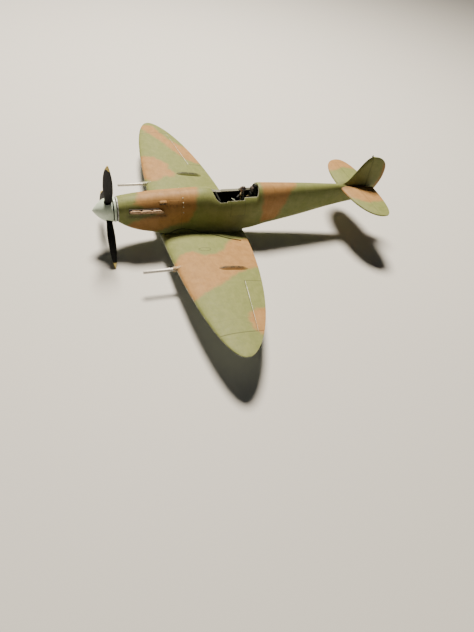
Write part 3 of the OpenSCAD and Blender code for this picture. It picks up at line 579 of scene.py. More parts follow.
def rusty_paint(name):
    """Tan dry-brushed over dark brown in noise blotches, with painted shade where the piece marks it."""
    n = Nodes(name)
    blotch = n.noise(0.7, 4, warp=0.5)
    grain = n.noise(0.25, 3)
    dark = n.mix(n.range(grain, 0.3, 0.7), (0.16, 0.085, 0.05), (0.26, 0.15, 0.09))
    pale = n.mix(n.range(grain, 0.3, 0.7), (0.42, 0.28, 0.17), (0.6, 0.42, 0.27))
    colour = n.mix(n.range(blotch, 0.3, 0.48), dark, pale)
    # painted shade, near black, where the piece marks it
    colour = n.mix(n.attribute("shade_and_soot"), colour, (0.012, 0.01, 0.008))
    return n.finish(colour, n.range(grain, 0.2, 0.8, 0.6, 0.8), n.bump(grain, 0.03, 0.7))


TIP_RADIUS = 22.4
YELLOW_FROM = TIP_RADIUS - 2.1
CAMOUFLAGE = brushed_paint("camouflage_paint", True)
UNDERSIDE = brushed_paint("underside_paint", False)
SPINNER_PAINT = flat_paint(
    "duck_egg_satin", (0.6, 0.72, 0.58), (0.7, 0.82, 0.68), 0.42, 1.2, 0.012, coat=0.1
)
BLADE = blade_paint("blade_black_yellow_tips")
SILVER = flat_paint(
    "barrel_silver", (0.66, 0.63, 0.58), (0.86, 0.83, 0.78), 0.4, 0.5, 0.01, metallic=0.2
)
NOSE_RING = flat_paint("nose_ring_grey", (0.03, 0.03, 0.03), (0.72, 0.73, 0.68), 0.4, 1.2)
RUST = rusty_paint("exhaust_rust")
INTERIOR = flat_paint(
    "cockpit_black", (0.006, 0.007, 0.006), (0.014, 0.016, 0.013), 0.7, 0.7, specular=0.1
)
GRILLE = flat_paint("grille_dark", (0.012, 0.012, 0.013), (0.05, 0.05, 0.052), 0.5, 0.4, metallic=0.3)
PLASTIC = flat_paint("bare_grey_plastic", (0.3, 0.31, 0.31), (0.36, 0.37, 0.37), 0.35, 1.5)
LEATHER = flat_paint("helmet_brown", (0.02, 0.014, 0.011), (0.045, 0.03, 0.022), 0.4, 0.6, coat=0.2)
OVERALL = flat_paint("overall_grey_blue", (0.035, 0.04, 0.042), (0.075, 0.08, 0.08), 0.65, 0.6)
VEST = flat_paint("vest_ochre", (0.12, 0.085, 0.03), (0.2, 0.15, 0.06), 0.65, 0.5)
SKIN = flat_paint("face_flesh", (0.3, 0.17, 0.11), (0.42, 0.26, 0.18), 0.55, 0.5)
BRASS = flat_paint("instrument_rims", (0.35, 0.34, 0.3), (0.55, 0.53, 0.48), 0.35, 0.4)

# --- Wing -----------------------------------------------------------------------------

WING_STATION, LE_REACH, TE_REACH, LE_POWER, TE_POWER = 36.7, 11.3, 24.6, 2.3, 1.6
WING_ROOT_Z, CENTRE_HALF_W, DIHEDRAL = -10.6, 7, 6.3
ROOT_THICKNESS, TIP_THICKNESS, CAMBER, EDGE_HALF = 0.13, 0.075, 0.02, 0.13
ROOT_INCIDENCE, TIP_INCIDENCE, TIP_SHARE = 2, -0.5, 0.998
AILERON_IN, AILERON_OUT = (41.4, 48.1), (67.6, 43.4)
TIP_JOINT, OUTER_RIB = 67.6, 61.2
HINGE_COLUMN = 0.75


def lerp(a, b, t):
    return a + (b - a) * t


def out(x):
    return np.minimum(np.abs(x) / HALF_SPAN, 1)


def wing_le(x):
    return WING_STATION - LE_REACH * (1 - out(x) ** LE_POWER) ** (1 / LE_POWER)


def wing_te(x):
    return WING_STATION + TE_REACH * (1 - out(x) ** TE_POWER) ** (1 / TE_POWER)


def profile(u):
    return 5 * (
        0.2969 * np.sqrt(u) - 0.126 * u - 0.3516 * u**2 + 0.2843 * u**3 - 0.1036 * u**4
    )


def half_depth(x, u):
    chord = wing_te(x) - wing_le(x)
    edge = EDGE_HALF * np.clip(np.sqrt(u / 0.006), 0.25, 1)
    return lerp(ROOT_THICKNESS, TIP_THICKNESS, out(x)) * chord * profile(u) + edge


def joint_z(x, u):
    chord = wing_te(x) - wing_le(x)
    s = wing_le(x) + u * chord
    twist = np.tan(np.radians(lerp(ROOT_INCIDENCE, TIP_INCIDENCE, out(x))))
    plane = WING_ROOT_Z + np.maximum(0, np.abs(x) - CENTRE_HALF_W) * math.tan(
        math.radians(DIHEDRAL)
    )
    return plane + (WING_STATION - s) * twist + 4 * CAMBER * chord * u * (1 - u)


def chord_share(x, v):
    """Share of the chord at grid column v, with one column held on the aileron hinge."""
    along = (x - AILERON_IN[0]) / (AILERON_OUT[0] - AILERON_IN[0])
    hinge = (lerp(AILERON_IN[1], AILERON_OUT[1], along) - wing_le(x)) / (
        wing_te(x) - wing_le(x)
    )
    hinge = lerp(HINGE_COLUMN, np.clip(hinge, 0.6, 0.9), np.clip((x - 20) / 20, 0, 1))
    return np.where(
        v < HINGE_COLUMN,
        v / HINGE_COLUMN * hinge,
        hinge + (v - HINGE_COLUMN) / (1 - HINGE_COLUMN) * (1 - hinge),
    )


def wing_top(x, s):
    """Height of the upper surface at (x, s)."""
    u = np.clip((s - wing_le(x)) / (wing_te(x) - wing_le(x)), 0, 1)
    return joint_z(x, u) + half_depth(x, u)


# [line, from, to, strength]: ribs at a distance out, between two columns, and columns between two ribs
UPPER_RIBS = [[TIP_JOINT, 0.02, 0.985, 0.7], [OUTER_RIB, 0.04, 0.72, 0.16], [AILERON_IN[0], 0.75, 1, 0.6]]
UPPER_COLUMNS = [[HINGE_COLUMN, AILERON_IN[0], AILERON_OUT[0], 0.75]]
LOWER_RIBS = [[TIP_JOINT, 0.02, 0.985, 0.7], [AILERON_IN[0], 0.75, 1, 0.7], [12.5, 0.75, 1, 0.6],
              [26, 0.1, 0.7, 0.3], [46, 0.1, 0.7, 0.3]]
LOWER_COLUMNS = [[HINGE_COLUMN, 12.5, AILERON_OUT[0], 0.7], [0.3, 27, 60, 0.3], [0.5, 27, 46, 0.3]]


def wing_grid(root, ribs, columns):
    """Positions of the grid's ribs and columns, and how deeply each point is engraved."""
    tip = HALF_SPAN * TIP_SHARE
    x = grid_values(root, tip, 104, [r[0] for r in ribs], LINE_HALF_W,
                    lambda t: 0.35 * t + 0.65 * np.sin(t * math.pi / 2))
    line_v = LINE_HALF_W / 26
    v = grid_values(0, 1, 40, [c[0] for c in columns], line_v, lambda t: t**1.8 * 0.45 + t * 0.55)
    x, v = np.meshgrid(x, v, indexing="ij")
    depth = np.zeros_like(x)
    for at, low, high, deep in ribs:
        depth = np.maximum(depth, deep * groove(x, at, LINE_HALF_W) * window(v, low, high, 0.01))
    for at, low, high, deep in columns:
        depth = np.maximum(depth, deep * groove(v, at, line_v) * window(x, low, high, 0.3))
    return x, v, chord_share(x, v), depth


def wing_surface(x, u, rise):
    s = lerp(wing_le(x), wing_te(x), u)
    return np.stack([x, s, joint_z(x, u) + rise], -1)


def near_line(x, s, a, b):
    """Distance of points (x, s) from the stretch a to b, in the plan view."""
    p = np.stack([x, s], -1)
    a, b = np.array(a, float), np.array(b, float)
    t = np.clip(((p - a) @ (b - a)) / ((b - a) @ (b - a)), 0, 1)
    return np.linalg.norm(p - a - t[..., None] * (b - a), axis=-1)


BLISTER_X, BLISTER_S, BLISTER_LENGTH, BLISTER_HALF_W, BLISTER_HEIGHT = 33.15, 40.72, 12, 1.35, 0.85


def wing_upper(side):
    x, v, u, depth = wing_grid(5.4, UPPER_RIBS, UPPER_COLUMNS)
    top = wing_surface(x, u, half_depth(x, u) - LINE_DEPTH * depth)
    inner = wing_surface(x, u, 0 * u)
    s = top[..., 1]
    # The aft side of the aileron hinge line is made pale as a painted highlight; the pale leading and
    # trailing edges are worn paint.
    aileron = groove(v, HINGE_COLUMN, 0.02) * window(x, *(p[0] for p in (AILERON_IN, AILERON_OUT)), 0.3)
    edge = np.clip(1 - u / 0.016, 0, 1) * 0.7 + np.clip((u - 0.985) / 0.015, 0, 1) * 0.3
    wear_and_highlight = np.maximum(edge, aileron * (v > HINGE_COLUMN + 0.006))
    # Painted shade on the wing along the root fairing and a painted shadow beside the cannon blister, both
    # darkening the paint.
    shade = fade(near_line(x, s, (8, 58), (12, 52)), 1.6) * 0.55
    shade += fade(near_line(x, s, (7.5, 46), (9.5, 62)), 1.1) * 0.3
    beside = near_line(x, s, (BLISTER_X + 1.5, BLISTER_S + 1), (BLISTER_X + 1.6, BLISTER_S + 10))
    shade += fade(beside, 0.45) * 0.2
    brown = distance_into(WING_BROWN, side * x, s)
    attributes = sheet_paint(
        {"brown": brown, "line": depth, "wear_and_highlight": wear_and_highlight, "shade_and_soot": np.clip(shade, 0, 0.8)},
        {"brown": brown, "wear_and_highlight": np.full(x.size, 0.4)},
    )
    name = SIDE_NAMES[side]
    painted_piece("wing_upper_skin_" + name, sheet(top, inner), side,
                  stands_for=["wing_upper_" + name], attributes=attributes)


WELL_X, WELL_R, WELL_S, WELL_ROOF, WELL_CHORD_SHARE = 24.4, 4.8, 35, 0.15, 0.3
TROUGH_W, TROUGH_START, TROUGH_STEP = 2.6, 4, 0.6
SOCKET_X, SOCKET_S, SOCKET_R, SOCKET_ROOF = 12, 34, 0.6, 0.05
BELOW_WING = -20


def upright_hole(x, s, radius, top, count):
    rings = [ring((x, s, z), radius, radius, (1, 0, 0), (0, 1, 0), count) for z in (top, BELOW_WING)]
    return loft(rings)


def wing_lower():
    x, v, u, depth = wing_grid(5.4, LOWER_RIBS, LOWER_COLUMNS)
    low = wing_surface(x, u, -half_depth(x, u) + LINE_DEPTH * depth)
    roof = wing_surface(x, u, 0 * u)
    edge = np.clip(1 - u / 0.02, 0, 1) * 0.5

    def both(grid):
        return np.concatenate([grid[::-1], grid])

    def spread(points):
        return np.concatenate([points[::-1] * (-1, 1, 1), points])

    made = piece(
        "wing_lower_skin", sheet(spread(roof), spread(low)), UNDERSIDE, "underside_grey",
        stands_for=["wing_lower"],
        attributes=sheet_paint({}, {"line": both(depth), "wear_and_highlight": both(edge)}),
    )
    cutters = []
    for side in (1, -1):
        roof_z = float(joint_z(WELL_X, WELL_CHORD_SHARE)) - WELL_ROOF
        socket_z = float(joint_z(SOCKET_X, WELL_CHORD_SHARE)) - SOCKET_ROOF
        ends = sorted((side * (SOCKET_X + TROUGH_START), side * WELL_X))
        cutters += [
            upright_hole(side * WELL_X, WELL_S, WELL_R, roof_z, 64),
            block((ends[0], WELL_S - TROUGH_W / 2, BELOW_WING),
                  (ends[1], WELL_S + TROUGH_W / 2, roof_z - TROUGH_STEP)),
            upright_hole(side * SOCKET_X, SOCKET_S, SOCKET_R, socket_z, 32),
        ]
    cut(made, *cutters)


def ribbon(path, width, rise, surface):
    """A thin strip that follows a closed or open path in plan, standing rise above the surface."""
    path = np.asarray(path, float)
    ahead = np.gradient(path, axis=0)
    ahead /= np.linalg.norm(ahead, axis=1)[:, None]
    across = np.stack([ahead[:, 1], -ahead[:, 0]], 1) * width / 2
    rows_top, rows_low = [], []
    for offset, up in ((-1, 0.1), (-0.5, 1), (0.5, 1), (1, 0.1)):
        at = path + across * offset
        z = surface(at[:, 0], at[:, 1])
        rows_top.append(np.stack([at[:, 0], at[:, 1], z + rise * up], 1))
        rows_low.append(np.stack([at[:, 0], at[:, 1], z - 0.08], 1))
    return sheet(rows_low, rows_top)


def painted(points, side, surface_line=0.0, wear_and_highlight=0.0):
    """Attributes for a small painted piece that lies on a wing."""
    n = len(points)
    return {
        "brown": distance_into(WING_BROWN, side * points[:, 0], points[:, 1]),
        "line": np.full(n, surface_line),
        "wear_and_highlight": np.full(n, wear_and_highlight),
        "shade_and_soot": np.zeros(n),
        "inside": np.zeros(n),
    }


HATCH_X, HATCH_S = 20.6, 39.2
# The edge of the root fairing: [station, distance out]
SEAM = [(26.5, 6.9), (32, 6.9), (37, 7.6), (41, 8.6), (46, 10.2), (50, 12.2), (54, 13.3), (57, 13.6)]


def root_top(x, s):
    """Height of the wing or of the fairing over it, whichever is higher."""
    heights = np.linspace(-10.5, 1, 70)
    z, ss = np.meshgrid(heights, np.ravel(s))
    reach = section_half_w(ss, z) + flare(ss, z, 90.0)
    fairing = np.where(reach >= np.ravel(x)[:, None], z, -99).max(axis=1)
    return np.maximum(wing_top(x, s), fairing.reshape(np.shape(s)))


def wing_trim(side):
    """Fairing seam, oval hatch and cannon blister on one wing."""
    name = SIDE_NAMES[side]

    def add_strip(label, shape, line):
        painted_piece(label + name, shape, side, attributes=painted(shape[0], side, line))

    seam_s = np.linspace(SEAM[0][0], SEAM[-1][0], 60)
    seam_x = np.interp(seam_s, [p[0] for p in SEAM], [p[1] for p in SEAM])
    seam_x = np.convolve(np.pad(seam_x, 4, "edge"), np.full(9, 1 / 9), "valid")
    add_strip("fairing_seam_", ribbon(np.stack([seam_x, seam_s], 1), STRIP_W, 0.3, root_top), 0.9)
    turn = np.linspace(0, 2 * math.pi, 49)
    oval = np.stack([HATCH_X + 1.15 * np.cos(turn), HATCH_S + 2.4 * np.sin(turn)], 1)
    add_strip("oval_hatch_", ribbon(oval, STRIP_W, 0.04, wing_top), 0.62)
    tt, vv = np.meshgrid(np.linspace(0.012, 0.988, 40), np.linspace(-1, 1, 14), indexing="ij")
    swell = 1 - (2 * tt - 1) ** 4
    x = BLISTER_X + 0.2 + vv * BLISTER_HALF_W * np.sqrt(swell)
    s = BLISTER_S + BLISTER_LENGTH * tt
    crown = 0.02 + BLISTER_HEIGHT * swell * (1 - vv**2)
    top = wing_top(x, s)
    high = np.stack([x, s, top + crown], -1)
    low = np.stack([x, s, top - 0.3], -1)
    shape = sheet(low, high)
    attributes = painted(shape[0], side)
    skirt = np.clip((np.abs(vv) - 0.8) / 0.2, 0, 1)
    # Painted shadow along the port flank of the blister on both wings.
    shadow = fade(side * vv - 0.3, 0.45) * window(tt, 0.06, 0.8, 0.12)
    attributes["shade_and_soot"] = np.concatenate([0 * tt.ravel(), shadow.ravel()])
    attributes["line"] = np.concatenate([0 * tt.ravel(), (0.3 * skirt).ravel()])
    painted_piece("cannon_blister_skin_" + name, shape, side,
                  stands_for=["cannon_blister_" + name], attributes=attributes)


CANNON_X, MUZZLE_S, BARREL_LENGTH, BARREL_R = 29.15, 13.8, 10.8, 0.65
CANNON_Z = float(joint_z(CANNON_X, 0.0)) + 0.35
FAIRING_R, FAIRING_END_R = 0.95, 1.15


def cannons(side):
    name = SIDE_NAMES[side]
    at = (side * CANNON_X, CANNON_Z)
    root = MUZZLE_S + BARREL_LENGTH
    barrel = lathe(
        [(0.25, MUZZLE_S + 1.6), (0.25, MUZZLE_S + 0.05), (0.3, MUZZLE_S), (BARREL_R - 0.06, MUZZLE_S),
         (BARREL_R, MUZZLE_S + 0.08), (BARREL_R, root - 1.5), (BARREL_R + 0.16, root - 1.42),
         (BARREL_R + 0.16, root - 1.1), (BARREL_R - 0.12, root - 1.0), (BARREL_R - 0.12, root - 0.7),
         (BARREL_R, root - 0.6), (BARREL_R, root + 0.9)],
        at, 32,
    )
    piece("cannon_tube_" + name, barrel, SILVER, "barrel_silver",
          stands_for=["cannon_barrel_" + name], angle=50)
    end = float(wing_le(CANNON_X)) + 2.8
    fairing = lathe(
        [(BARREL_R + 0.02, root + 0.8), (BARREL_R + 0.02, root + 0.05), (FAIRING_R - 0.12, root),
         (FAIRING_R, root + 0.15), (lerp(FAIRING_R, FAIRING_END_R, 0.5), (root + end) / 2),
         (FAIRING_END_R, end)],
        at, 40,
    )
    piece("cannon_fairing_skin_" + name, fairing, CAMOUFLAGE, "camouflage_green",
          stands_for=["cannon_fairing_" + name],
          attributes=painted(fairing[0] * (side, 1, 1), side, wear_and_highlight=0.6))


# --- Fuselage -------------------------------------------------------------------------

NOSE_STATION, SKIN_T = 9.4, 0.9
RUDDER_CHORD, FIN_HEIGHT = 8.3, 18.5
HINGE_S = OVERALL_LENGTH - RUDDER_CHORD
COCKPIT_FRONT, COCKPIT_LENGTH = 46.5, 19.5
COCKPIT_REAR = COCKPIT_FRONT + COCKPIT_LENGTH
SILL_Z, SILL_CAMBER, FAIRING_REACH = 3.2, 2.2, 3.4
UPPER_POWER = 2.2
FRONT_SLOPE, FRONT_ROUND, REAR_ROUND = 3.5, 3.7, 1.2
# share of the length, top, bottom, half width, widest height, squareness below
FRAMES = np.array([
    [0.000, 4.8, -4.9, 4.8, 0.0, 2.1], [0.030, 5.4, -7.1, 5.1, -0.2, 2.3],
    [0.065, 5.9, -8.7, 5.4, -0.4, 2.5], [0.105, 6.3, -9.8, 5.6, -0.6, 2.7],
    [0.145, 6.6, -10.5, 5.8, -0.9, 2.6], [0.225, 6.9, -11.3, 6.1, -1.5, 2.3],
    [0.300, 7.1, -11.4, 6.3, -2.0, 2.2], [0.375, 7.5, -11.4, 6.4, -2.2, 2.2],
    [0.450, 7.9, -11.5, 6.3, -2.2, 2.2], [0.525, 8.0, -11.1, 6.0, -2.0, 2.2],
    [0.620, 7.6, -9.5, 5.2, -1.5, 2.2], [0.730, 7.0, -7.2, 4.1, -0.6, 2.2],
    [0.830, 6.3, -4.8, 2.9, 0.4, 2.2], [0.920, 5.8, -3.0, 1.9, 1.2, 2.2],
    [1.000, 5.4, -1.8, 1.1, 1.8, 2.2],
])
FIN = np.array([[0, 1], [1.7, 0.94], [3.8, 0.75], [6, 0.45], [8.4, 0.16], [10.6, 0.03], [13.6, 0]])
SILL_STEPS = [(0, 0), (5.6, 0.35), (13.1, 1.1)]
STEP_RAMP = 0.15
FIN_SPREAD = 12


def smooth_value(table, v, column):
    """Smooth curve through a column of a table whose first column rises."""
    at, value = table[:, 0], table[:, column]
    slope = np.array([
        (value[min(k + 1, len(at) - 1)] - value[max(k - 1, 0)])
        / (at[min(k + 1, len(at) - 1)] - at[max(k - 1, 0)])
        for k in range(len(at))
    ])
    k = np.clip(np.searchsorted(at, v, side="right") - 1, 0, len(at) - 2)
    h = at[k + 1] - at[k]
    t = np.clip((v - at[k]) / h, 0, 1)
    return (
        (2 * t**3 - 3 * t**2 + 1) * value[k]
        + (t**3 - 2 * t**2 + t) * h * slope[k]
        + (3 * t**2 - 2 * t**3) * value[k + 1]
        + (t**3 - t**2) * h * slope[k + 1]
    )


def frame_value(s, column):
    return smooth_value(FRAMES, np.clip((s - NOSE_STATION) / (HINGE_S - NOSE_STATION), 0, 1), column)


def frame_top(s):
    a = np.clip((s - COCKPIT_FRONT + FRONT_SLOPE) / (FRONT_SLOPE + FRONT_ROUND), 0, 1)
    b = np.clip((COCKPIT_REAR + 0.1 - s) / 1.2, 0, 1)
    return lerp(frame_value(s, 1), SILL_Z + SILL_CAMBER, a * a * (3 - 2 * a) * b)


def section_point(s, angle, t):
    """Half width and height of the section at station s; angle 0 is the top, 180 the bottom."""
    power = 2 / np.where(angle > 90, frame_value(s, 5), UPPER_POWER)
    mid = frame_value(s, 4)
    end = np.where(angle < 90, frame_top(s) - t, frame_value(s, 2) + t)
    turn = np.radians(angle)
    return (
        (frame_value(s, 3) - t) * np.clip(np.sin(turn), 0, 1) ** power,
        mid + (end - mid) * np.abs(np.cos(turn)) ** power,
    )


def section_half_w(s, z, t=0.0):
    mid = frame_value(s, 4)
    power = np.where(z < mid, frame_value(s, 5), UPPER_POWER)
    end = np.where(z > mid, frame_top(s) - t, frame_value(s, 2) + t)
    q = np.clip(np.abs((z - mid) / (end - mid)), 0, 1)
    return (frame_value(s, 3) - t) * (1 - q**power) ** (1 / power)


def sill_height(s):
    rise = 0.0
    for start, step in SILL_STEPS[1:]:
        rise = np.where(s - COCKPIT_FRONT > start + STEP_RAMP, step, rise)
    return SILL_Z + rise


def opening_angle(s):
    front, rear = FRONT_ROUND, REAR_ROUND
    a = np.clip((COCKPIT_FRONT + front - s) / front, 0, 1)
    b = np.clip((s - COCKPIT_REAR + rear) / rear, 0, 1)
    mid = frame_value(s, 4)
    level = np.clip((sill_height(s) - mid) / (frame_top(s) - mid), 0, 1)
    angle = np.degrees(np.arccos(level ** (UPPER_POWER / 2))) * np.sqrt(1 - np.maximum(a, b) ** 2)
    return np.where((s < COCKPIT_FRONT) | (s > COCKPIT_REAR), 0, angle)


def flare(s, z, angle):
    """How far the wing root fairing stands out of the section."""
    front, rear = float(wing_le(0)) - 3, float(wing_te(0)) + 11
    t = np.clip((s - front) / (WING_STATION - front), 0, 1)
    v = np.clip((rear - s) / (rear - float(wing_te(0)) + 8), 0, 1)
    width = FAIRING_REACH * np.sin(t * math.pi / 2) * np.sin(v * math.pi / 2) ** 1.5
    u = np.clip((s - wing_le(0)) / (wing_te(0) - wing_le(0)), 0, 1)
    foot = joint_z(0, u) + half_depth(0, u) + np.maximum(0, s - wing_te(0)) * 0.12
    q = z - foot
    return (
        width
        * np.where(q > 0, np.exp(-np.maximum(q, 0) / 1.7), np.maximum(0, 1 + q / 2.4))
        * np.clip(2 * np.sin(np.radians(angle)), 0, 1)
        * np.clip((angle - 60) / 30, 0, 1)
    )


def fin_half_w(z):
    top = float(frame_top(HINGE_S))
    return lerp(0.95, 0.45, np.clip((z - top) / (FIN_HEIGHT - top), 0, 1))


# [station, from angle, to angle, strength] and [angle, from station, to station, strength]
BODY_STATIONS = [[33.3, 4, 150, 0.22], [12.2, 4, 170, 0.12], [44.6, 4, 120, 0.1], [72.6, 4, 172, 0.12],
                 [99.5, 4, 172, 0.15]]
BODY_STRINGERS = [[38, 9.8, 33.3, 0.1], [96, 9.8, 33.3, 0.15]]
DOOR = (53.6, 59.8, 62, 92)


def ring_columns():
    """Columns round the body: the first few lie on the fin, and the rest run down to the keel."""
    lines = [(b[0] - FIN_SPREAD) / (180 - FIN_SPREAD) for b in BODY_STRINGERS]
    half = 0.8 / (180 - FIN_SPREAD)
    lower = grid_values(0, 1, 46, lines, half)
    along_fin = np.linspace(0, 1, 11)
    girth_share = np.concatenate([0 * along_fin, lower[1:]])
    return girth_share, np.concatenate([along_fin, np.ones(len(lower) - 1)])


def body_rows():
    lines = [b[0] for b in BODY_STATIONS] + list(DOOR[:2])

    def stations(low, high, count):
        return grid_values(low, high, count, [c for c in lines if low < c < high], LINE_HALF_W)

    nose = stations(NOSE_STATION, COCKPIT_FRONT - 0.05, 60)
    front = COCKPIT_FRONT + FRONT_ROUND * (1 - np.cos(np.radians(np.linspace(0, 90, 16))))
    near_step = (STEP_RAMP - 0.02, STEP_RAMP + 0.02, -0.2, 0.4)
    steps = [COCKPIT_FRONT + d + k for d, _ in SILL_STEPS[1:] for k in near_step]
    sill = stations(COCKPIT_FRONT + FRONT_ROUND + 0.3, COCKPIT_REAR - 1.4, 26)
    rear = COCKPIT_REAR - REAR_ROUND * (1 - np.cos(np.radians(np.linspace(90, 0, 8))))
    aft = stations(COCKPIT_REAR + 0.05, HINGE_S, 92)
    every = np.concatenate([nose, front, steps, sill, rear, aft])
    rows = np.array(sorted({round(float(v), 4) for v in every}))
    return rows[np.concatenate([[True], np.diff(rows) > 0.012])]


def fuselage(side):
    name = SIDE_NAMES[side]
    s_values = body_rows()
    lower, drop = ring_columns()
    s, low = np.meshgrid(s_values, lower, indexing="ij")
    _, fin_share = np.meshgrid(s_values, drop, indexing="ij")
    a0 = opening_angle(s)
    a1 = a0 + FIN_SPREAD
    on_fin = low == 0
    angle = np.where(on_fin, a0 + FIN_SPREAD * fin_share, a1 + (180 - a1) * low)
    depth = np.zeros_like(s)
    closed = a0 < 0.5
    for at, start, end, deep in BODY_STATIONS:
        depth = np.maximum(depth, deep * groove(s, at, LINE_HALF_W) * window(angle, start, end, 1))
    for at, start, end, deep in BODY_STRINGERS:
        depth = np.maximum(depth, deep * closed * groove(angle, at, 0.8) * window(s, start, end, 0.2))
    for at in DOOR[:2]:
        down = window(angle, 45, DOOR[3], 1) * (side > 0)
        depth = np.maximum(depth, 0.3 * groove(s, at, LINE_HALF_W) * down)
    px, pz = section_point(s, angle, 0)
    rise_share = smooth_value(FIN, HINGE_S - s, 1)
    rise = np.maximum(0, rise_share) * (FIN_HEIGHT - float(frame_top(HINGE_S)))
    z = pz + rise * np.where(on_fin, 1 - fin_share, 0)
    edge = np.where(
        (rise > 0.01) & on_fin & (fin_share > 0),
        np.minimum(fin_half_w(z), 0.5 * np.sqrt(np.maximum(rise * fin_share, 0))), 0,
    )
    x = np.maximum(px, edge) + flare(s, pz, angle) - LINE_DEPTH * depth * np.sin(np.radians(angle))
    z = z - LINE_DEPTH * depth * np.cos(np.radians(angle))
    seam = closed & on_fin & (fin_share == 0)
    x = np.maximum(x, 0)
    x[:, -1] = 0
    z = z - 0.05 * seam
    outer = np.stack([x, s, z], -1)
    ix, iz = section_point(s, angle, np.minimum(SKIN_T, frame_value(s, 3) * 0.6))
    ix[:, -1] = 0
    inner = np.stack([ix, s, iz], -1)
    steps = np.linalg.norm(np.diff(np.stack([px, pz], -1), axis=1), axis=-1)
    girth = np.concatenate([np.zeros((len(s), 1)), np.cumsum(steps, 1)], 1) + 8 * np.radians(a0) * 0.7
    brown = distance_into(BODY_BROWN, s, side * girth)
    brown = np.maximum(brown, distance_into(FIN_BROWN, s, z))
    open_edge = (a0 > 0.5) & on_fin
    wear_and_highlight = np.clip(1.1 - 4 * fin_share, 0, 1) * open_edge
    wear_and_highlight = wear_and_highlight + 0.35 * (s > HINGE_S - 0.3) + 0.3 * (rise > 1) * seam
    # Painted shade below the exhaust pipes (under_pipe) and low on the side by the wing root (root); smoke
    # is soot from the exhausts along the cowl.
    under_pipe = fade(z + 0.4, 0.8) * window(s, 13, 27, 1.2) * (angle > 60)
    smoke = fade(z - 1.2, 1.6) * np.clip((s - 22) / 4, 0, 1) * np.clip((46 - s) / 20, 0, 1)
    root = fade(s - 58, 3.4) * fade(x - 7.4, 1.3) * (angle > 90)
    shade_and_soot = np.clip(0.75 * under_pipe + 0.22 * smoke + 0.75 * root, 0, 0.9)
    inner_worn = wear_and_highlight * (fin_share == 0) * open_edge
    attributes = sheet_paint(
        {"brown": brown, "wear_and_highlight": inner_worn, "inside": 1 - np.clip(inner_worn * 2, 0, 1)},
        {"brown": brown, "line": np.maximum(depth, 0.45 * seam), "wear_and_highlight": wear_and_highlight, "shade_and_soot": shade_and_soot},
    )
    painted_piece("fuselage_shell_" + name, sheet(inner, outer), side,
                  stands_for=["fuselage_" + name], attributes=attributes)


def on_body(s, z, side=1, lift=0.0):
    """A point on the body side and the outward direction there."""
    def at(ss, zz):
        return np.array([float(section_half_w(ss, zz)) + float(flare(ss, zz, 90.0)), ss, zz])
    p = at(s, z)
    along, up = at(s + 0.1, z) - p, at(s, z + 0.1) - p
    normal = np.cross(along, up)
    normal /= np.linalg.norm(normal)
    normal *= np.sign(normal[0])
    return (p + normal * lift) * (side, 1, 1), normal * (side, 1, 1)


def stud(p, normal, radius, height, count=10):
    """A low dome on a surface."""
    side = np.cross(normal, (0, 1, 0.3))
    side /= np.linalg.norm(side)
    other = np.cross(normal, side)
    steps = [(1.0, -0.12), (1.0, 0.0), (0.85, 0.6), (0.45, 0.95), (0.1, 1.0)]
    return loft([
        ring(p + normal * height * h, radius * r, radius * r, side, other, count) for r, h in steps
    ])


def cowl_trim(side):
    """Fasteners and louvres on the engine cowling."""
    name = SIDE_NAMES[side]
    studs = []
    for z in (5.6, 4.2, 2.7, 0.6):
        studs.append(stud(*on_body(33.9, z, side), 0.24, 0.16))
    for s in (11, 15.5, 20, 24.5, 29, 32.2):
        studs.append(stud(*on_body(s, -1.0, side), 0.16, 0.08))
        studs.append(stud(*on_body(s, 4.9, side), 0.16, 0.08))
    shape = joined(studs)
    attributes = painted(shape[0], 1)
    attributes["wear_and_highlight"] = np.where(shape[0][:, 1] > 33.5, 1.0, 0.25)
    attributes["brown"] = distance_into(
        BODY_BROWN, shape[0][:, 1], side * (10.5 - shape[0][:, 2]))
    piece("cowl_fasteners_" + name, shape, CAMOUFLAGE, "camouflage_green", attributes=attributes)
    slats = []
    for s in (27.4, 28.7, 30, 31.3):
        points = [on_body(s + 0.12 * k, z, side, 0.05)[0] for k, z in ((0, 2.6), (0.5, 3.2), (1, 3.8))]
        slats.append(tube(points, (0.08, 0.13, 0.08), 8))
    shape = joined(slats)
    attributes = painted(shape[0], 1, surface_line=0.35)
    attributes["brown"] = np.full(len(shape[0]), 3.0)
    piece("cowl_louvres_" + name, shape, CAMOUFLAGE, "camouflage_green", attributes=attributes)


BUMP_S, BUMP_ANGLE, BUMP_LENGTH = 24.6, 46, 3


def cowl_bump():
    half_w, z = (float(v) for v in section_point(BUMP_S + 1.5, float(BUMP_ANGLE), 0))
    lean = math.radians(BUMP_ANGLE - 8)
    outward = np.array((math.sin(lean), 0, math.cos(lean)))
    across = np.array((math.cos(lean), 0, -math.sin(lean)))
    rings = []
    for height, w, length in ((-0.6, 0.78, 1.55), (0.25, 0.76, 1.5), (0.6, 0.66, 1.38), (0.72, 0.42, 1.1)):
        centre = np.array((half_w, BUMP_S + BUMP_LENGTH / 2, z)) + outward * height
        rings.append(ring(centre, w, length, across, (0, 1, 0), 28, 5))
    shape = loft(rings)
    # The bump gets pale patches as a painted highlight, and its lower, outer side is darkened as painted
    # shade.
    attributes = painted(shape[0], 1, wear_and_highlight=0.4)
    reach = (shape[0] - (half_w, 0, z)) @ across
    attributes["shade_and_soot"] = np.clip((reach - 0.2) / 0.3, 0, 0.95)
    attributes["brown"] = np.full(len(shape[0]), 3.0)
    piece("cowl_bump_skin", shape, CAMOUFLAGE, "camouflage_green", stands_for=["cowl_bump"],
          attributes=attributes)


EXHAUST_S, EXHAUST_PITCH, EXHAUST_Z, EXHAUST_COUNT = 13.9, 4.0, 1.6, 3
EXHAUST_STRETCH = 0.93
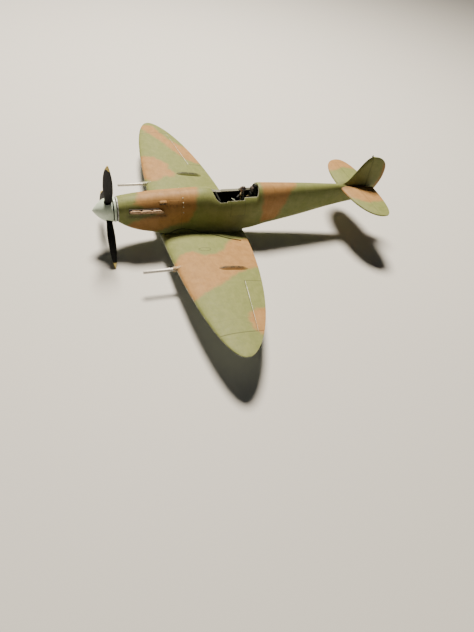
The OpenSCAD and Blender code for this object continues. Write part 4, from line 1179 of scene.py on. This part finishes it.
# along one pipe: [aft, out, up, half height, half thickness]
EXHAUST_PIPE = (
    (-0.9, -0.3, -0.1, 0.25, 0.3), (-0.5, 0.25, -0.05, 0.5, 0.5), (0.2, 0.65, 0.05, 0.66, 0.56),
    (1.0, 0.85, 0.2, 0.72, 0.54), (1.9, 0.95, 0.27, 0.74, 0.5), (2.7, 1.0, 0.22, 0.8, 0.46),
    (3.3, 1.08, 0.1, 0.86, 0.44), (3.9, 1.1, -0.1, 0.68, 0.38), (4.5, 1.08, -0.3, 0.34, 0.26),
    (4.75, 1.05, -0.38, 0.12, 0.12),
)


def exhausts(side):
    name = SIDE_NAMES[side]
    shapes, exhaust_shade = [], []
    for k in range(EXHAUST_COUNT):
        rings = []
        start = EXHAUST_S + k * EXHAUST_PITCH
        x = float(section_half_w(start + 1.5, EXHAUST_Z))
        for aft, out_by, up, high, thick in EXHAUST_PIPE:
            centre = (x + out_by - 0.25, start + EXHAUST_STRETCH * aft, EXHAUST_Z + up)
            rings.append(ring(centre, thick, high, (1, -0.12, 0.15), (0, 0, 1), 24, 2.3))
        shape = loft(rings)
        shapes.append(shape)
        # Painted shade on the lower side of each pipe.
        below = EXHAUST_Z + 0.05 - shape[0][:, 2]
        exhaust_shade.append(np.clip(below / 0.5, 0, 0.95))
        # the second outlet of the pair shows as a ridge above the first
        tip = start + EXHAUST_STRETCH * EXHAUST_PIPE[-1][0]
        ridge = [(x + 0.15, tip + d, EXHAUST_Z + 0.5 + 0.1 * math.sin(d))
                 for d in np.linspace(-4.2, -1.2, 8)]
        shape = tube(ridge, 0.33, 10)
        shapes.append(shape)
        # The ridge is darkened a little as painted shade.
        exhaust_shade.append(np.full(len(shape[0]), 0.3))
    base = []
    end = EXHAUST_S + (EXHAUST_COUNT - 1) * EXHAUST_PITCH + 2.4
    for s in np.linspace(EXHAUST_S - 0.9, end, 14):
        x = float(section_half_w(s, EXHAUST_Z))
        base.append(ring((x - 0.1, s, EXHAUST_Z + 0.1), 0.3, 1.0, (1, 0, 0.02), (0, 0, 1), 20, 4))
    plate = loft(base)
    shapes.append(plate)
    # The base plate is painted nearly black as shade round the pipes.
    exhaust_shade.append(np.full(len(plate[0]), 0.95))
    shape = joined(shapes)
    piece("exhaust_pipes_" + name, on_side(shape, side), RUST, "exhaust_rust",
          stands_for=["exhaust_" + name], attributes={"shade_and_soot": np.concatenate(exhaust_shade)}, angle=50)


# --- Tail -----------------------------------------------------------------------------

TAIL_HALF_SPAN, TAIL_Z, TAIL_LE_REACH, TAIL_TE_REACH = 23.2, 4.5, 10.2, 5.9
TAIL_TIP_S = HINGE_S - 1.9
TAIL_LE_POWER, TAIL_TE_POWER = 2.3, 2.4
ELEVATOR_S = HINGE_S - 4.4
# the elevator hinge's column, the ribs at its tab and at its horn, and half the width of their lines
ELEVATOR_COLUMN, ELEVATOR_LINE_V = 0.62, 0.014
TAB_RIB, HORN_RIB, TAIL_LINE_HALF_W = 8.6, 19.8, 0.17
RUDDER_TAB_COLUMN, RUDDER_LINE_U, RUDDER_WIDEST = 0.66, 0.02, 0.62


def tail_le(x):
    t = x / TAIL_HALF_SPAN
    return TAIL_TIP_S - TAIL_LE_REACH * (1 - t**TAIL_LE_POWER) ** (1 / TAIL_LE_POWER)


def tail_te(x):
    t = x / TAIL_HALF_SPAN
    return TAIL_TIP_S + TAIL_TE_REACH * (1 - t**TAIL_TE_POWER) ** (1 / TAIL_TE_POWER)


def tailplane(side):
    name = SIDE_NAMES[side]
    hinge_v = ELEVATOR_COLUMN
    x = grid_values(0.3, TAIL_HALF_SPAN * TIP_SHARE, 46, [TAB_RIB, HORN_RIB], TAIL_LINE_HALF_W,
                    lambda t: np.sin(t * math.pi / 2))
    v = grid_values(0, 1, 28, [hinge_v], ELEVATOR_LINE_V, lambda t: 0.5 * t**1.8 + 0.5 * t)
    x, v = np.meshgrid(x, v, indexing="ij")
    chord = tail_te(x) - tail_le(x)
    hinge = np.clip((ELEVATOR_S - tail_le(x)) / chord, 0.3, 0.75)
    behind = (v - hinge_v) / (1 - hinge_v)
    u = np.where(v < hinge_v, v / hinge_v * hinge, hinge + behind * (1 - hinge))
    depth = 0.4 * groove(v, hinge_v, ELEVATOR_LINE_V) * window(x, 0, 20, 0.3)
    depth = np.maximum(depth, 0.3 * groove(x, HORN_RIB, TAIL_LINE_HALF_W) * (v > hinge_v))
    depth = np.maximum(depth, 0.2 * groove(x, TAB_RIB, TAIL_LINE_HALF_W) * (v > 0.86))
    s = tail_le(x) + u * chord
    half = 0.1 * chord * profile(u) + 0.14 * np.clip(np.sqrt(u / 0.01), 0.3, 1) - 0.07 * depth
    top = np.stack([x, s, TAIL_Z + half], -1)
    low = np.stack([x, s, TAIL_Z - half], -1)
    brown = distance_into(TAIL_BROWN, side * x, s)
    wear_and_highlight = np.clip(1 - u / 0.03, 0, 1) * 0.55
    # Painted shade on the tailplane next to the fuselage.
    shade_and_soot = 0.55 * fade(x - 1.6, 1.1)
    paint = {"brown": brown, "line": depth, "wear_and_highlight": wear_and_highlight, "shade_and_soot": shade_and_soot}
    made = painted_piece("tailplane_skin_" + name, sheet(low, top), side,
                         stands_for=["tailplane_" + name], attributes=sheet_paint(paint, paint))
    ends = sorted((-2.0 * side, 1.32 * side))
    notch = block((ends[0], HINGE_S, TAIL_Z - 4), (ends[1], OVERALL_LENGTH + 2, TAIL_Z + 4))
    cut(made, notch)


def rudder():
    bottom, count = -1.6, 60
    t = np.sin(np.linspace(0, 1, count) * math.pi / 2)
    u = grid_values(0, 1, 14, [RUDDER_TAB_COLUMN], RUDDER_LINE_U)
    t, u = np.meshgrid(t, u, indexing="ij")
    widen = np.sin(np.clip(t / RUDDER_WIDEST, 0, 1) * math.pi / 2)
    narrow = np.maximum(0, (t - RUDDER_WIDEST) / (1 - RUDDER_WIDEST))
    reach = RUDDER_CHORD * (0.3 + 0.7 * widen**0.8) * (1 - narrow**2.6) ** (1 / 2.1)
    reach = np.maximum(0.6, reach)
    z = lerp(bottom, FIN_HEIGHT - 0.1, t)
    s = HINGE_S + u * reach
    depth = 0.3 * groove(u, RUDDER_TAB_COLUMN, RUDDER_LINE_U) * window(z, 0.5, 7.5, 0.3)
    half = fin_half_w(z) * (1 - u**1.3) + 0.12 * (1 - 0.5 * np.clip(t * 12 - 11, 0, 1)) - 0.06 * depth
    half = half - 0.22 * np.clip(1 - u * 9, 0, 1) * (1 - 0.6 * t)
    right, left = np.stack([half, s, z], -1), np.stack([-half, s, z], -1)
    brown = distance_into(FIN_BROWN, s, z)
    line = np.maximum(depth, 0.5 * (u == 0))
    wear_and_highlight = 0.4 * (u == 1) + 0.3 * (t > 0.995)
    paint = {"brown": brown, "line": line, "wear_and_highlight": wear_and_highlight}
    painted_piece("rudder_skin", sheet(left, right), 1, stands_for=["rudder"],
                  attributes=sheet_paint(paint, paint))


def aerial():
    low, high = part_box("aerial_stub")
    z0, z1 = low.z / MM - THRUST_HEIGHT, high.z / MM - THRUST_HEIGHT
    s = (low.y + high.y) / 2 / MM + OVERALL_LENGTH / 2
    rings = [ring((0, s, lerp(z0, z1, t)), r, r * 1.25, (1, 0, 0), (0, 1, 0), 20)
             for t, r in ((0, 0.28), (0.5, 0.25), (0.85, 0.2), (1, 0.1))]
    piece("aerial_stub_skin", loft(rings), BLADE, "blade_black", stands_for=["aerial_stub"])


# --- Propeller ------------------------------------------------------------------------

SPINNER_R, SPINNER_LENGTH, BLADE_S, BLADE_COUNT, REST_TURN = 4.8, 7.3, 5.85, 3, 15.5
BLADE_ROOT_R, BLADE_ROOT_W, BLADE_CHORD, BLADE_HOLE_R = 1.6, 2.7, 4.5, 1.51
SPINNER_WALL, SPINNER_POWER = 0.7, 0.86
BLADE_PITCH, BLADE_TWIST = 60, 26


def round_shaft(shape):
    """One copy of the shape for each blade, turned about the shaft."""
    points, faces = shape
    x, z = points[:, 0], points[:, 2]
    copies = []
    for k in range(BLADE_COUNT):
        a = math.radians(REST_TURN + k * 360 / BLADE_COUNT)
        turned = np.stack([x * math.cos(a) + z * math.sin(a), points[:, 1],
                           -x * math.sin(a) + z * math.cos(a)], 1)
        copies.append((turned, faces))
    return copies


def blades():
    r, v = np.meshgrid(
        BLADE_ROOT_R + (TIP_RADIUS - BLADE_ROOT_R) * np.sin(np.linspace(0, 1, 48) * math.pi / 2),
        np.sin(np.linspace(-1, 1, 17) * math.pi / 2), indexing="ij")
    t = (r - BLADE_ROOT_R) / (TIP_RADIUS - BLADE_ROOT_R)
    width = lerp(BLADE_ROOT_W, BLADE_CHORD, np.sin(np.clip((t - 0.1) / 0.4, 0, 1) * math.pi / 2) ** 1.4)
    width = width * (1 - np.maximum(0, (t - 0.5) / 0.5) ** 3 * 0.9)
    pitch = np.radians(BLADE_PITCH - BLADE_TWIST * t**0.7)
    half = lerp(0.62, 0.2, t**0.5) * np.sqrt(1 - v**2 * 0.96)
    across = v * width / 2
    faces = []
    for side in (-1, 1):
        bulge = side * half * (1.15 if side > 0 else 0.85)
        faces.append(np.stack([across * np.cos(pitch) + bulge * np.sin(pitch),
                               BLADE_S + across * np.sin(pitch) - bulge * np.cos(pitch), r], -1))
    shapes = round_shaft(sheet(*faces))
    hub = lathe([(0.9, 3.5), (2.1, 3.5), (2.3, 3.8), (2.3, SPINNER_LENGTH), (0.9, SPINNER_LENGTH)],
                count=48)
    piece("propeller_blades", joined([*shapes, hub]), BLADE, "blade_black", PROPELLER,
          stands_for=["propeller"], angle=60)


def spinner():
    def nose(radius, start):
        """Outline of a rounded cone from its tip at start back to the end of the spinner."""
        share = 1 - np.cos(np.linspace(0, 1, 34) * math.pi / 2)
        return [(max(0.03, radius * (1 - (1 - q) ** 2) ** SPINNER_POWER),
                 start + (SPINNER_LENGTH - start) * q) for q in share]

    outer = nose(SPINNER_R, 0)
    inner = nose(SPINNER_R - SPINNER_WALL, SPINNER_WALL + 0.5)
    shell = piece("spinner_shell", lathe([*outer, *inner[::-1]]), SPINNER_PAINT, "spinner_green",
                  PROPELLER, stands_for=["spinner"])
    hole = loft([ring((0, BLADE_S, z), BLADE_HOLE_R, BLADE_HOLE_R, (1, 0, 0), (0, 1, 0), 40)
                 for z in (1.2, 7)])
    cut(shell, *round_shaft(hole))
    low, high = SPINNER_LENGTH, 8.55
    plate = lathe([(0.82, low), (4.3, low), (4.3, 7.76), (4.72, 7.8), (SPINNER_R, 7.88),
                   (SPINNER_R, high - 0.1), (4.7, high), (0.82, high)])
    piece("spinner_rear_ring", plate, SPINNER_PAINT, "spinner_green", PROPELLER,
          stands_for=["spinner_backplate"])
    gaps = joined([lathe([(4.1, a), (4.36, a), (4.36, b), (4.1, b)])
                   for a, b in ((7.28, 7.79), (8.54, 8.88))])
    piece("spinner_gap_shadow", gaps, INTERIOR, "blade_black", PROPELLER)
    face = lathe([(0.86, 8.9), (4.55, 8.9), (4.68, 9.0), (4.72, 9.38), (2.0, 9.4), (2.0, 10.9),
                  (1.9, 11), (0.86, 11)])
    piece("nose_ring_face", face, NOSE_RING, "nose_ring", stands_for=["nose_bearing_plate"])


# --- Cockpit --------------------------------------------------------------------------

FLOOR_Z, FLOOR_T = -4.6, 0.8
BULKHEAD_S = COCKPIT_REAR - 1.6
PANEL_S = COCKPIT_FRONT + 2.6
SEAT_S = BULKHEAD_S - 5.2
SEAT_BASE = FLOOR_Z + FLOOR_T


def cockpit():
    panel_face = PANEL_S + 0.6
    rims, dials = [], []
    for x, z, r in ((-2.4, 2.4, 0.62), (0, 2.4, 0.62), (2.4, 2.4, 0.62), (-1.5, 1, 0.56), (1.5, 1, 0.56)):
        rim = [(r - 0.1, -0.2), (r - 0.1, 0.06), (r + 0.08, 0.06), (r + 0.1, -0.1)]
        dial = [(0.02, -0.22), (r - 0.12, -0.22), (r - 0.12, -0.12), (0.02, -0.12)]
        for shapes, outline in ((rims, rim), (dials, dial)):
            shapes.append(lathe([(q, panel_face + d) for q, d in outline], (x, z), 28))
        hand = block((x - 0.04, panel_face - 0.13, z), (x + 0.04, panel_face - 0.08, z + r - 0.2))
        dials.append(hand)
    piece("instrument_rims", joined(rims), BRASS, "interior_dark")
    piece("instrument_dials", joined(dials), PLASTIC, "interior_dark")
    # rails and frames along the cockpit sides, and a throttle box
    shapes = []

    def on_wall(s, z, inward):
        return side * (float(section_half_w(s, z, SKIN_T)) - inward), s, z

    for side in (1, -1):
        for z, r in ((1.9, 0.22), (-0.4, 0.18)):
            shapes.append(tube([on_wall(s, z, 0.25) for s in np.linspace(50.5, 63.5, 10)], r, 10))
        for s in (52, 56, 60):
            shapes.append(tube([on_wall(s, z, 0.12) for z in np.linspace(-3.4, 2.2, 8)], 0.2, 8))
    x = float(section_half_w(54.5, 0.8, SKIN_T)) - 0.55
    shapes.append(block((x - 0.3, 53.4, 0.2), (x + 0.4, 55.6, 1.3)))
    shapes.append(tube([(x, 54.6, 1.2), (x - 0.15, 54.3, 2.1)], 0.12, 8))
    shapes.append(ball((x - 0.16, 54.28, 2.2), (0.24, 0.24, 0.24), count=10))
    soften(piece("cockpit_side_fittings", joined(shapes), INTERIOR, "interior_dark"), 0.06)
    # the door catch on the port sill
    s = COCKPIT_FRONT + 8.4
    z = float(sill_height(np.array(s)))
    x = float(section_half_w(s, z)) - 0.2
    latch = tube([(x, s + 0.5, z), (x - 0.5, s, z + 0.25), (x - 1.3, s - 0.5, z + 0.3)], 0.16, 8)
    piece("door_catch", latch, UNDERSIDE, "underside_grey",
          attributes={k: np.zeros(len(latch[0])) for k in ("line", "wear_and_highlight", "shade_and_soot", "inside")})
    # harness over the seat back
    straps = []
    for side in (-1, 1):
        path = [(side * 0.9, SEAT_S + 4.45, 1.6), (side * 0.85, SEAT_S + 3.9, 2.3),
                (side * 0.8, SEAT_S + 3.1, 1.9)]
        straps.append(tube(path, 0.16, 8))
    piece("seat_straps", joined(straps), VEST, "interior_dark")


HEAD_Z = 6.0
FIGURE_S = SEAT_S + 0.7
HIP_Z = SEAT_BASE + 1.6 + 0.5


def remesh_into_one(made, voxel, smooth):
    """Runs overlapping shapes together into one skin."""
    remesh = made.modifiers.new("remesh", "REMESH")
    remesh.mode = "VOXEL"
    remesh.voxel_size = voxel * MM
    soft = made.modifiers.new("smooth", "SMOOTH")
    soft.iterations = smooth
    material = made.data.materials[0]
    take_modified(made)
    if not made.data.materials:
        made.data.materials.append(material)
    smooth_faces(made.data)


def pilot():
    f = FIGURE_S
    shoulder = HEAD_Z - 2.5
    body = [
        ball((0, f, HIP_Z + 0.6), (1.35, 0.95, 0.9)),
        ball((0, f + 0.05, (HIP_Z + shoulder) / 2 + 0.3), (1.3, 0.85, 2.4)),
        ball((0, f + 0.1, shoulder - 0.35), (1.7, 0.75, 0.75)),
        tube([(0, f + 0.2, shoulder), (0, f + 0.12, shoulder + 1.5)], (0.62, 0.5), 16),
    ]
    for side in (-1, 1):
        leg = [(side * 0.8, f - 0.3, HIP_Z + 0.6), (side * 0.85, f - 1.8, HIP_Z + 0.95),
               (side * 0.9, f - 3.1, HIP_Z + 1.0)]
        arm = [(side * 1.5, f + 0.1, shoulder - 0.35), (side * 1.75, f - 0.3, shoulder - 1.5),
               (side * 1.35, f - 1.5, shoulder - 2.3)]
        body += [tube(leg, (0.62, 0.56, 0.45), 16), tube(arm, (0.5, 0.42, 0.34), 16)]
    torso = piece("pilot_overalls", joined(body), OVERALL, "figure_paint", stands_for=["pilot_figure"])
    remesh_into_one(torso, 0.14, 5)
    vest = [ball((side * 0.62, f - 0.55, shoulder - 1.5), (0.5, 0.32, 1.25), 4) for side in (-1, 1)]
    collar = [(math.cos(a), f + 0.1 - 0.75 * math.sin(a), shoulder + 0.25 - 0.2 * math.sin(a))
              for a in np.linspace(0, math.pi, 12)]
    vest.append(tube(collar, 0.24, 12))
    remesh_into_one(piece("pilot_vest", joined(vest), VEST, "figure_paint"), 0.12, 4)
    nose = [(0, f - 1.02, HEAD_Z + 0.1), (0, f - 1.13, HEAD_Z - 0.12), (0, f - 1.26, HEAD_Z - 0.3),
            (0, f - 1.05, HEAD_Z - 0.36)]
    face = [
        ball((0, f - 0.12, HEAD_Z - 0.08), (0.86, 0.98, 1.12), 4, 24),
        ball((0, f - 0.82, HEAD_Z - 0.72), (0.42, 0.3, 0.28), 0, 14),
        tube(nose, (0.07, 0.1, 0.15, 0.1), 10),
        ball((0.42, f - 0.84, HEAD_Z - 0.28), (0.24, 0.2, 0.2), 0, 12),
        ball((-0.42, f - 0.84, HEAD_Z - 0.28), (0.24, 0.2, 0.2), 0, 12),
        ball((0, f - 1.03, HEAD_Z - 0.56), (0.24, 0.1, 0.09), 0, 10),
        ball((0, f - 0.95, HEAD_Z + 0.16), (0.62, 0.14, 0.1), 0, 12),
    ]
    remesh_into_one(piece("pilot_face", joined(face), SKIN, "figure_paint"), 0.07, 3)
    chin_strap = [(1.0, f - 0.1, HEAD_Z - 0.5), (0, f - 0.5, HEAD_Z - 1.15),
                  (-1.0, f - 0.1, HEAD_Z - 0.5)]
    helmet = [
        ball((0, f + 0.14, HEAD_Z + 0.14), (1.06, 1.1, 1.1), 0, 28),
        ball((0.98, f + 0.02, HEAD_Z - 0.22), (0.2, 0.4, 0.42), 0, 14),
        ball((-0.98, f + 0.02, HEAD_Z - 0.22), (0.2, 0.4, 0.42), 0, 14),
        tube(chin_strap, 0.14, 8),
    ]
    remesh_into_one(piece("pilot_helmet", joined(helmet), LEATHER, "figure_paint"), 0.08, 3)
    goggles = []
    for side in (-1, 1):
        goggles.append(ball((side * 0.4, f - 0.86, HEAD_Z + 0.5), (0.38, 0.2, 0.28), -20, 16))
    strap = [(1.1 * math.cos(a), f + 0.14 - 1.13 * math.sin(a), HEAD_Z + 0.34 + 0.14 * math.sin(a))
             for a in np.linspace(0, 2 * math.pi, 33)]
    goggles.append(tube(strap, 0.08, 8))
    piece("pilot_goggles", joined(goggles), GRILLE, "figure_paint")


# --- Coolers --------------------------------------------------------------------------


def grille(name, node):
    """Vertical fins and two cross bars in place of a flat core."""
    low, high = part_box(node)
    a = np.array([low.x, low.y, low.z]) / MM + (0, OVERALL_LENGTH / 2, -THRUST_HEIGHT)
    b = np.array([high.x, high.y, high.z]) / MM + (0, OVERALL_LENGTH / 2, -THRUST_HEIGHT)
    shapes = [block((a[0], a[1] + 0.35, a[2]), (b[0], b[1], b[2]))]
    count = max(4, int((b[0] - a[0]) / 0.45))
    for k in range(count):
        x = lerp(a[0], b[0], (k + 0.5) / count)
        shapes.append(block((x - 0.07, a[1], a[2] + 0.05), (x + 0.07, a[1] + 0.4, b[2] - 0.05)))
    for k in (1, 2):
        z = lerp(a[2], b[2], k / 3)
        shapes.append(block((a[0] + 0.05, a[1] + 0.1, z - 0.06), (b[0] - 0.05, a[1] + 0.4, z + 0.06)))
    piece(name, joined(shapes), GRILLE, "radiator_mesh", stands_for=[node])


def oil_grille():
    low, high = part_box("oil_cooler_core")
    centre = ((low.x + high.x) / 2 / MM, (low.z + high.z) / 2 / MM - THRUST_HEIGHT)
    r = (high.x - low.x) / 2 / MM
    s0, s1 = (v / MM + OVERALL_LENGTH / 2 for v in (low.y, high.y))
    shapes = [lathe([(0.02, s0 + 0.3), (r, s0 + 0.3), (r, s1), (0.02, s1)], centre, 48)]
    for k in range(1, 4):
        q = r * k / 4
        hoop = [(q - 0.07, s0), (q + 0.07, s0), (q + 0.07, s0 + 0.4), (q - 0.07, s0 + 0.4)]
        shapes.append(lathe(hoop, centre, 48))
    piece("oil_cooler_grille", joined(shapes), GRILLE, "radiator_mesh", stands_for=["oil_cooler_core"])


def repaint(material, *nodes):
    """Gives CAD nodes that are carried over a better material."""
    for name in nodes:
        node = frame["nodes"][name]
        node.data.materials.clear()
        node.data.materials.append(material)


# --- Scene ----------------------------------------------------------------------------


FLOOR_HALF, FLOOR_COLOUR = 4.0, (0.62, 0.61, 0.59)
SKY_COLOUR, SKY_STRENGTH = (0.8, 0.84, 0.9, 1), 0.04


def studio():
    floor_mesh = bpy.data.meshes.new("studio_floor")
    corners = [(x * FLOOR_HALF, y * FLOOR_HALF, 0) for x, y in ((-1, -1), (1, -1), (1, 1), (-1, 1))]
    floor_mesh.from_pydata(corners, [], [(0, 1, 2, 3)])
    n = Nodes("studio_floor")
    floor_mesh.materials.append(n.finish(FLOOR_COLOUR, 0.62, specular=0.3))
    add_object("studio_floor", floor_mesh)

    def lamp(name, toward, distance, size, power, colour):
        data = bpy.data.lights.new(name, "AREA")
        data.shape = "DISK"
        data.size = size
        data.energy = power
        data.color = colour
        made = add_object(name, data)
        direction = Vector(toward).normalized()
        made.location = direction * distance
        made.rotation_mode = "QUATERNION"
        made.rotation_quaternion = direction.to_track_quat("Z", "Y")

    lamp("key", (-0.46, 0.02, 0.89), 0.6, 0.16, 11, (1, 0.9, 0.74))
    lamp("fill", (0.6, -0.6, 0.6), 1.2, 0.9, 0.12, (0.88, 0.94, 1))
    world = bpy.data.worlds.new("studio")
    world.use_nodes = True
    background = world.node_tree.nodes["Background"]
    background.inputs["Color"].default_value = SKY_COLOUR
    background.inputs["Strength"].default_value = SKY_STRENGTH
    bpy.context.scene.world = world


# Metres in the frame; the camera leans a little, so its right-hand direction is given too.
CAMERA_PLACE = (0.1605, -0.0751, 0.1253)
CAMERA_LOOKING, CAMERA_RIGHT = (-0.6316, 0.3190, -0.7066), (0.3144, 0.9385, 0.1427)
SENSOR_W, FOCAL_LENGTH = 36, 27.55


def camera():
    data = bpy.data.cameras.new("camera")
    data.sensor_width = SENSOR_W
    data.lens = FOCAL_LENGTH
    data.clip_start = 0.005
    made = add_object("camera", data)
    looking = Vector(CAMERA_LOOKING).normalized()
    right = Vector(CAMERA_RIGHT)
    right = (right - looking * right.dot(looking)).normalized()
    up = right.cross(looking)
    turn = Matrix((right, up, -looking)).transposed()
    made.matrix_world = Matrix.Translation(CAMERA_PLACE) @ turn.to_4x4()
    bpy.context.scene.camera = made


camera()
studio()
for side in (1, -1):
    fuselage(side)
    wing_upper(side)
    wing_trim(side)
    cannons(side)
    tailplane(side)
    exhausts(side)
    cowl_trim(side)
wing_lower()
cowl_bump()
rudder()
aerial()
blades()
spinner()
cockpit()
pilot()
grille("radiator_grille_front", "radiator_core_front")
grille("radiator_grille_rear", "radiator_core_rear")
oil_grille()
repaint(UNDERSIDE, "radiator_housing", "oil_cooler_housing", "carburettor_intake")
repaint(INTERIOR, "cockpit_floor", "rear_bulkhead", "instrument_panel", "seat", "control_column")
repaint(LEATHER, "headrest")
repaint(PLASTIC, "propeller_shaft", "shaft_collar")
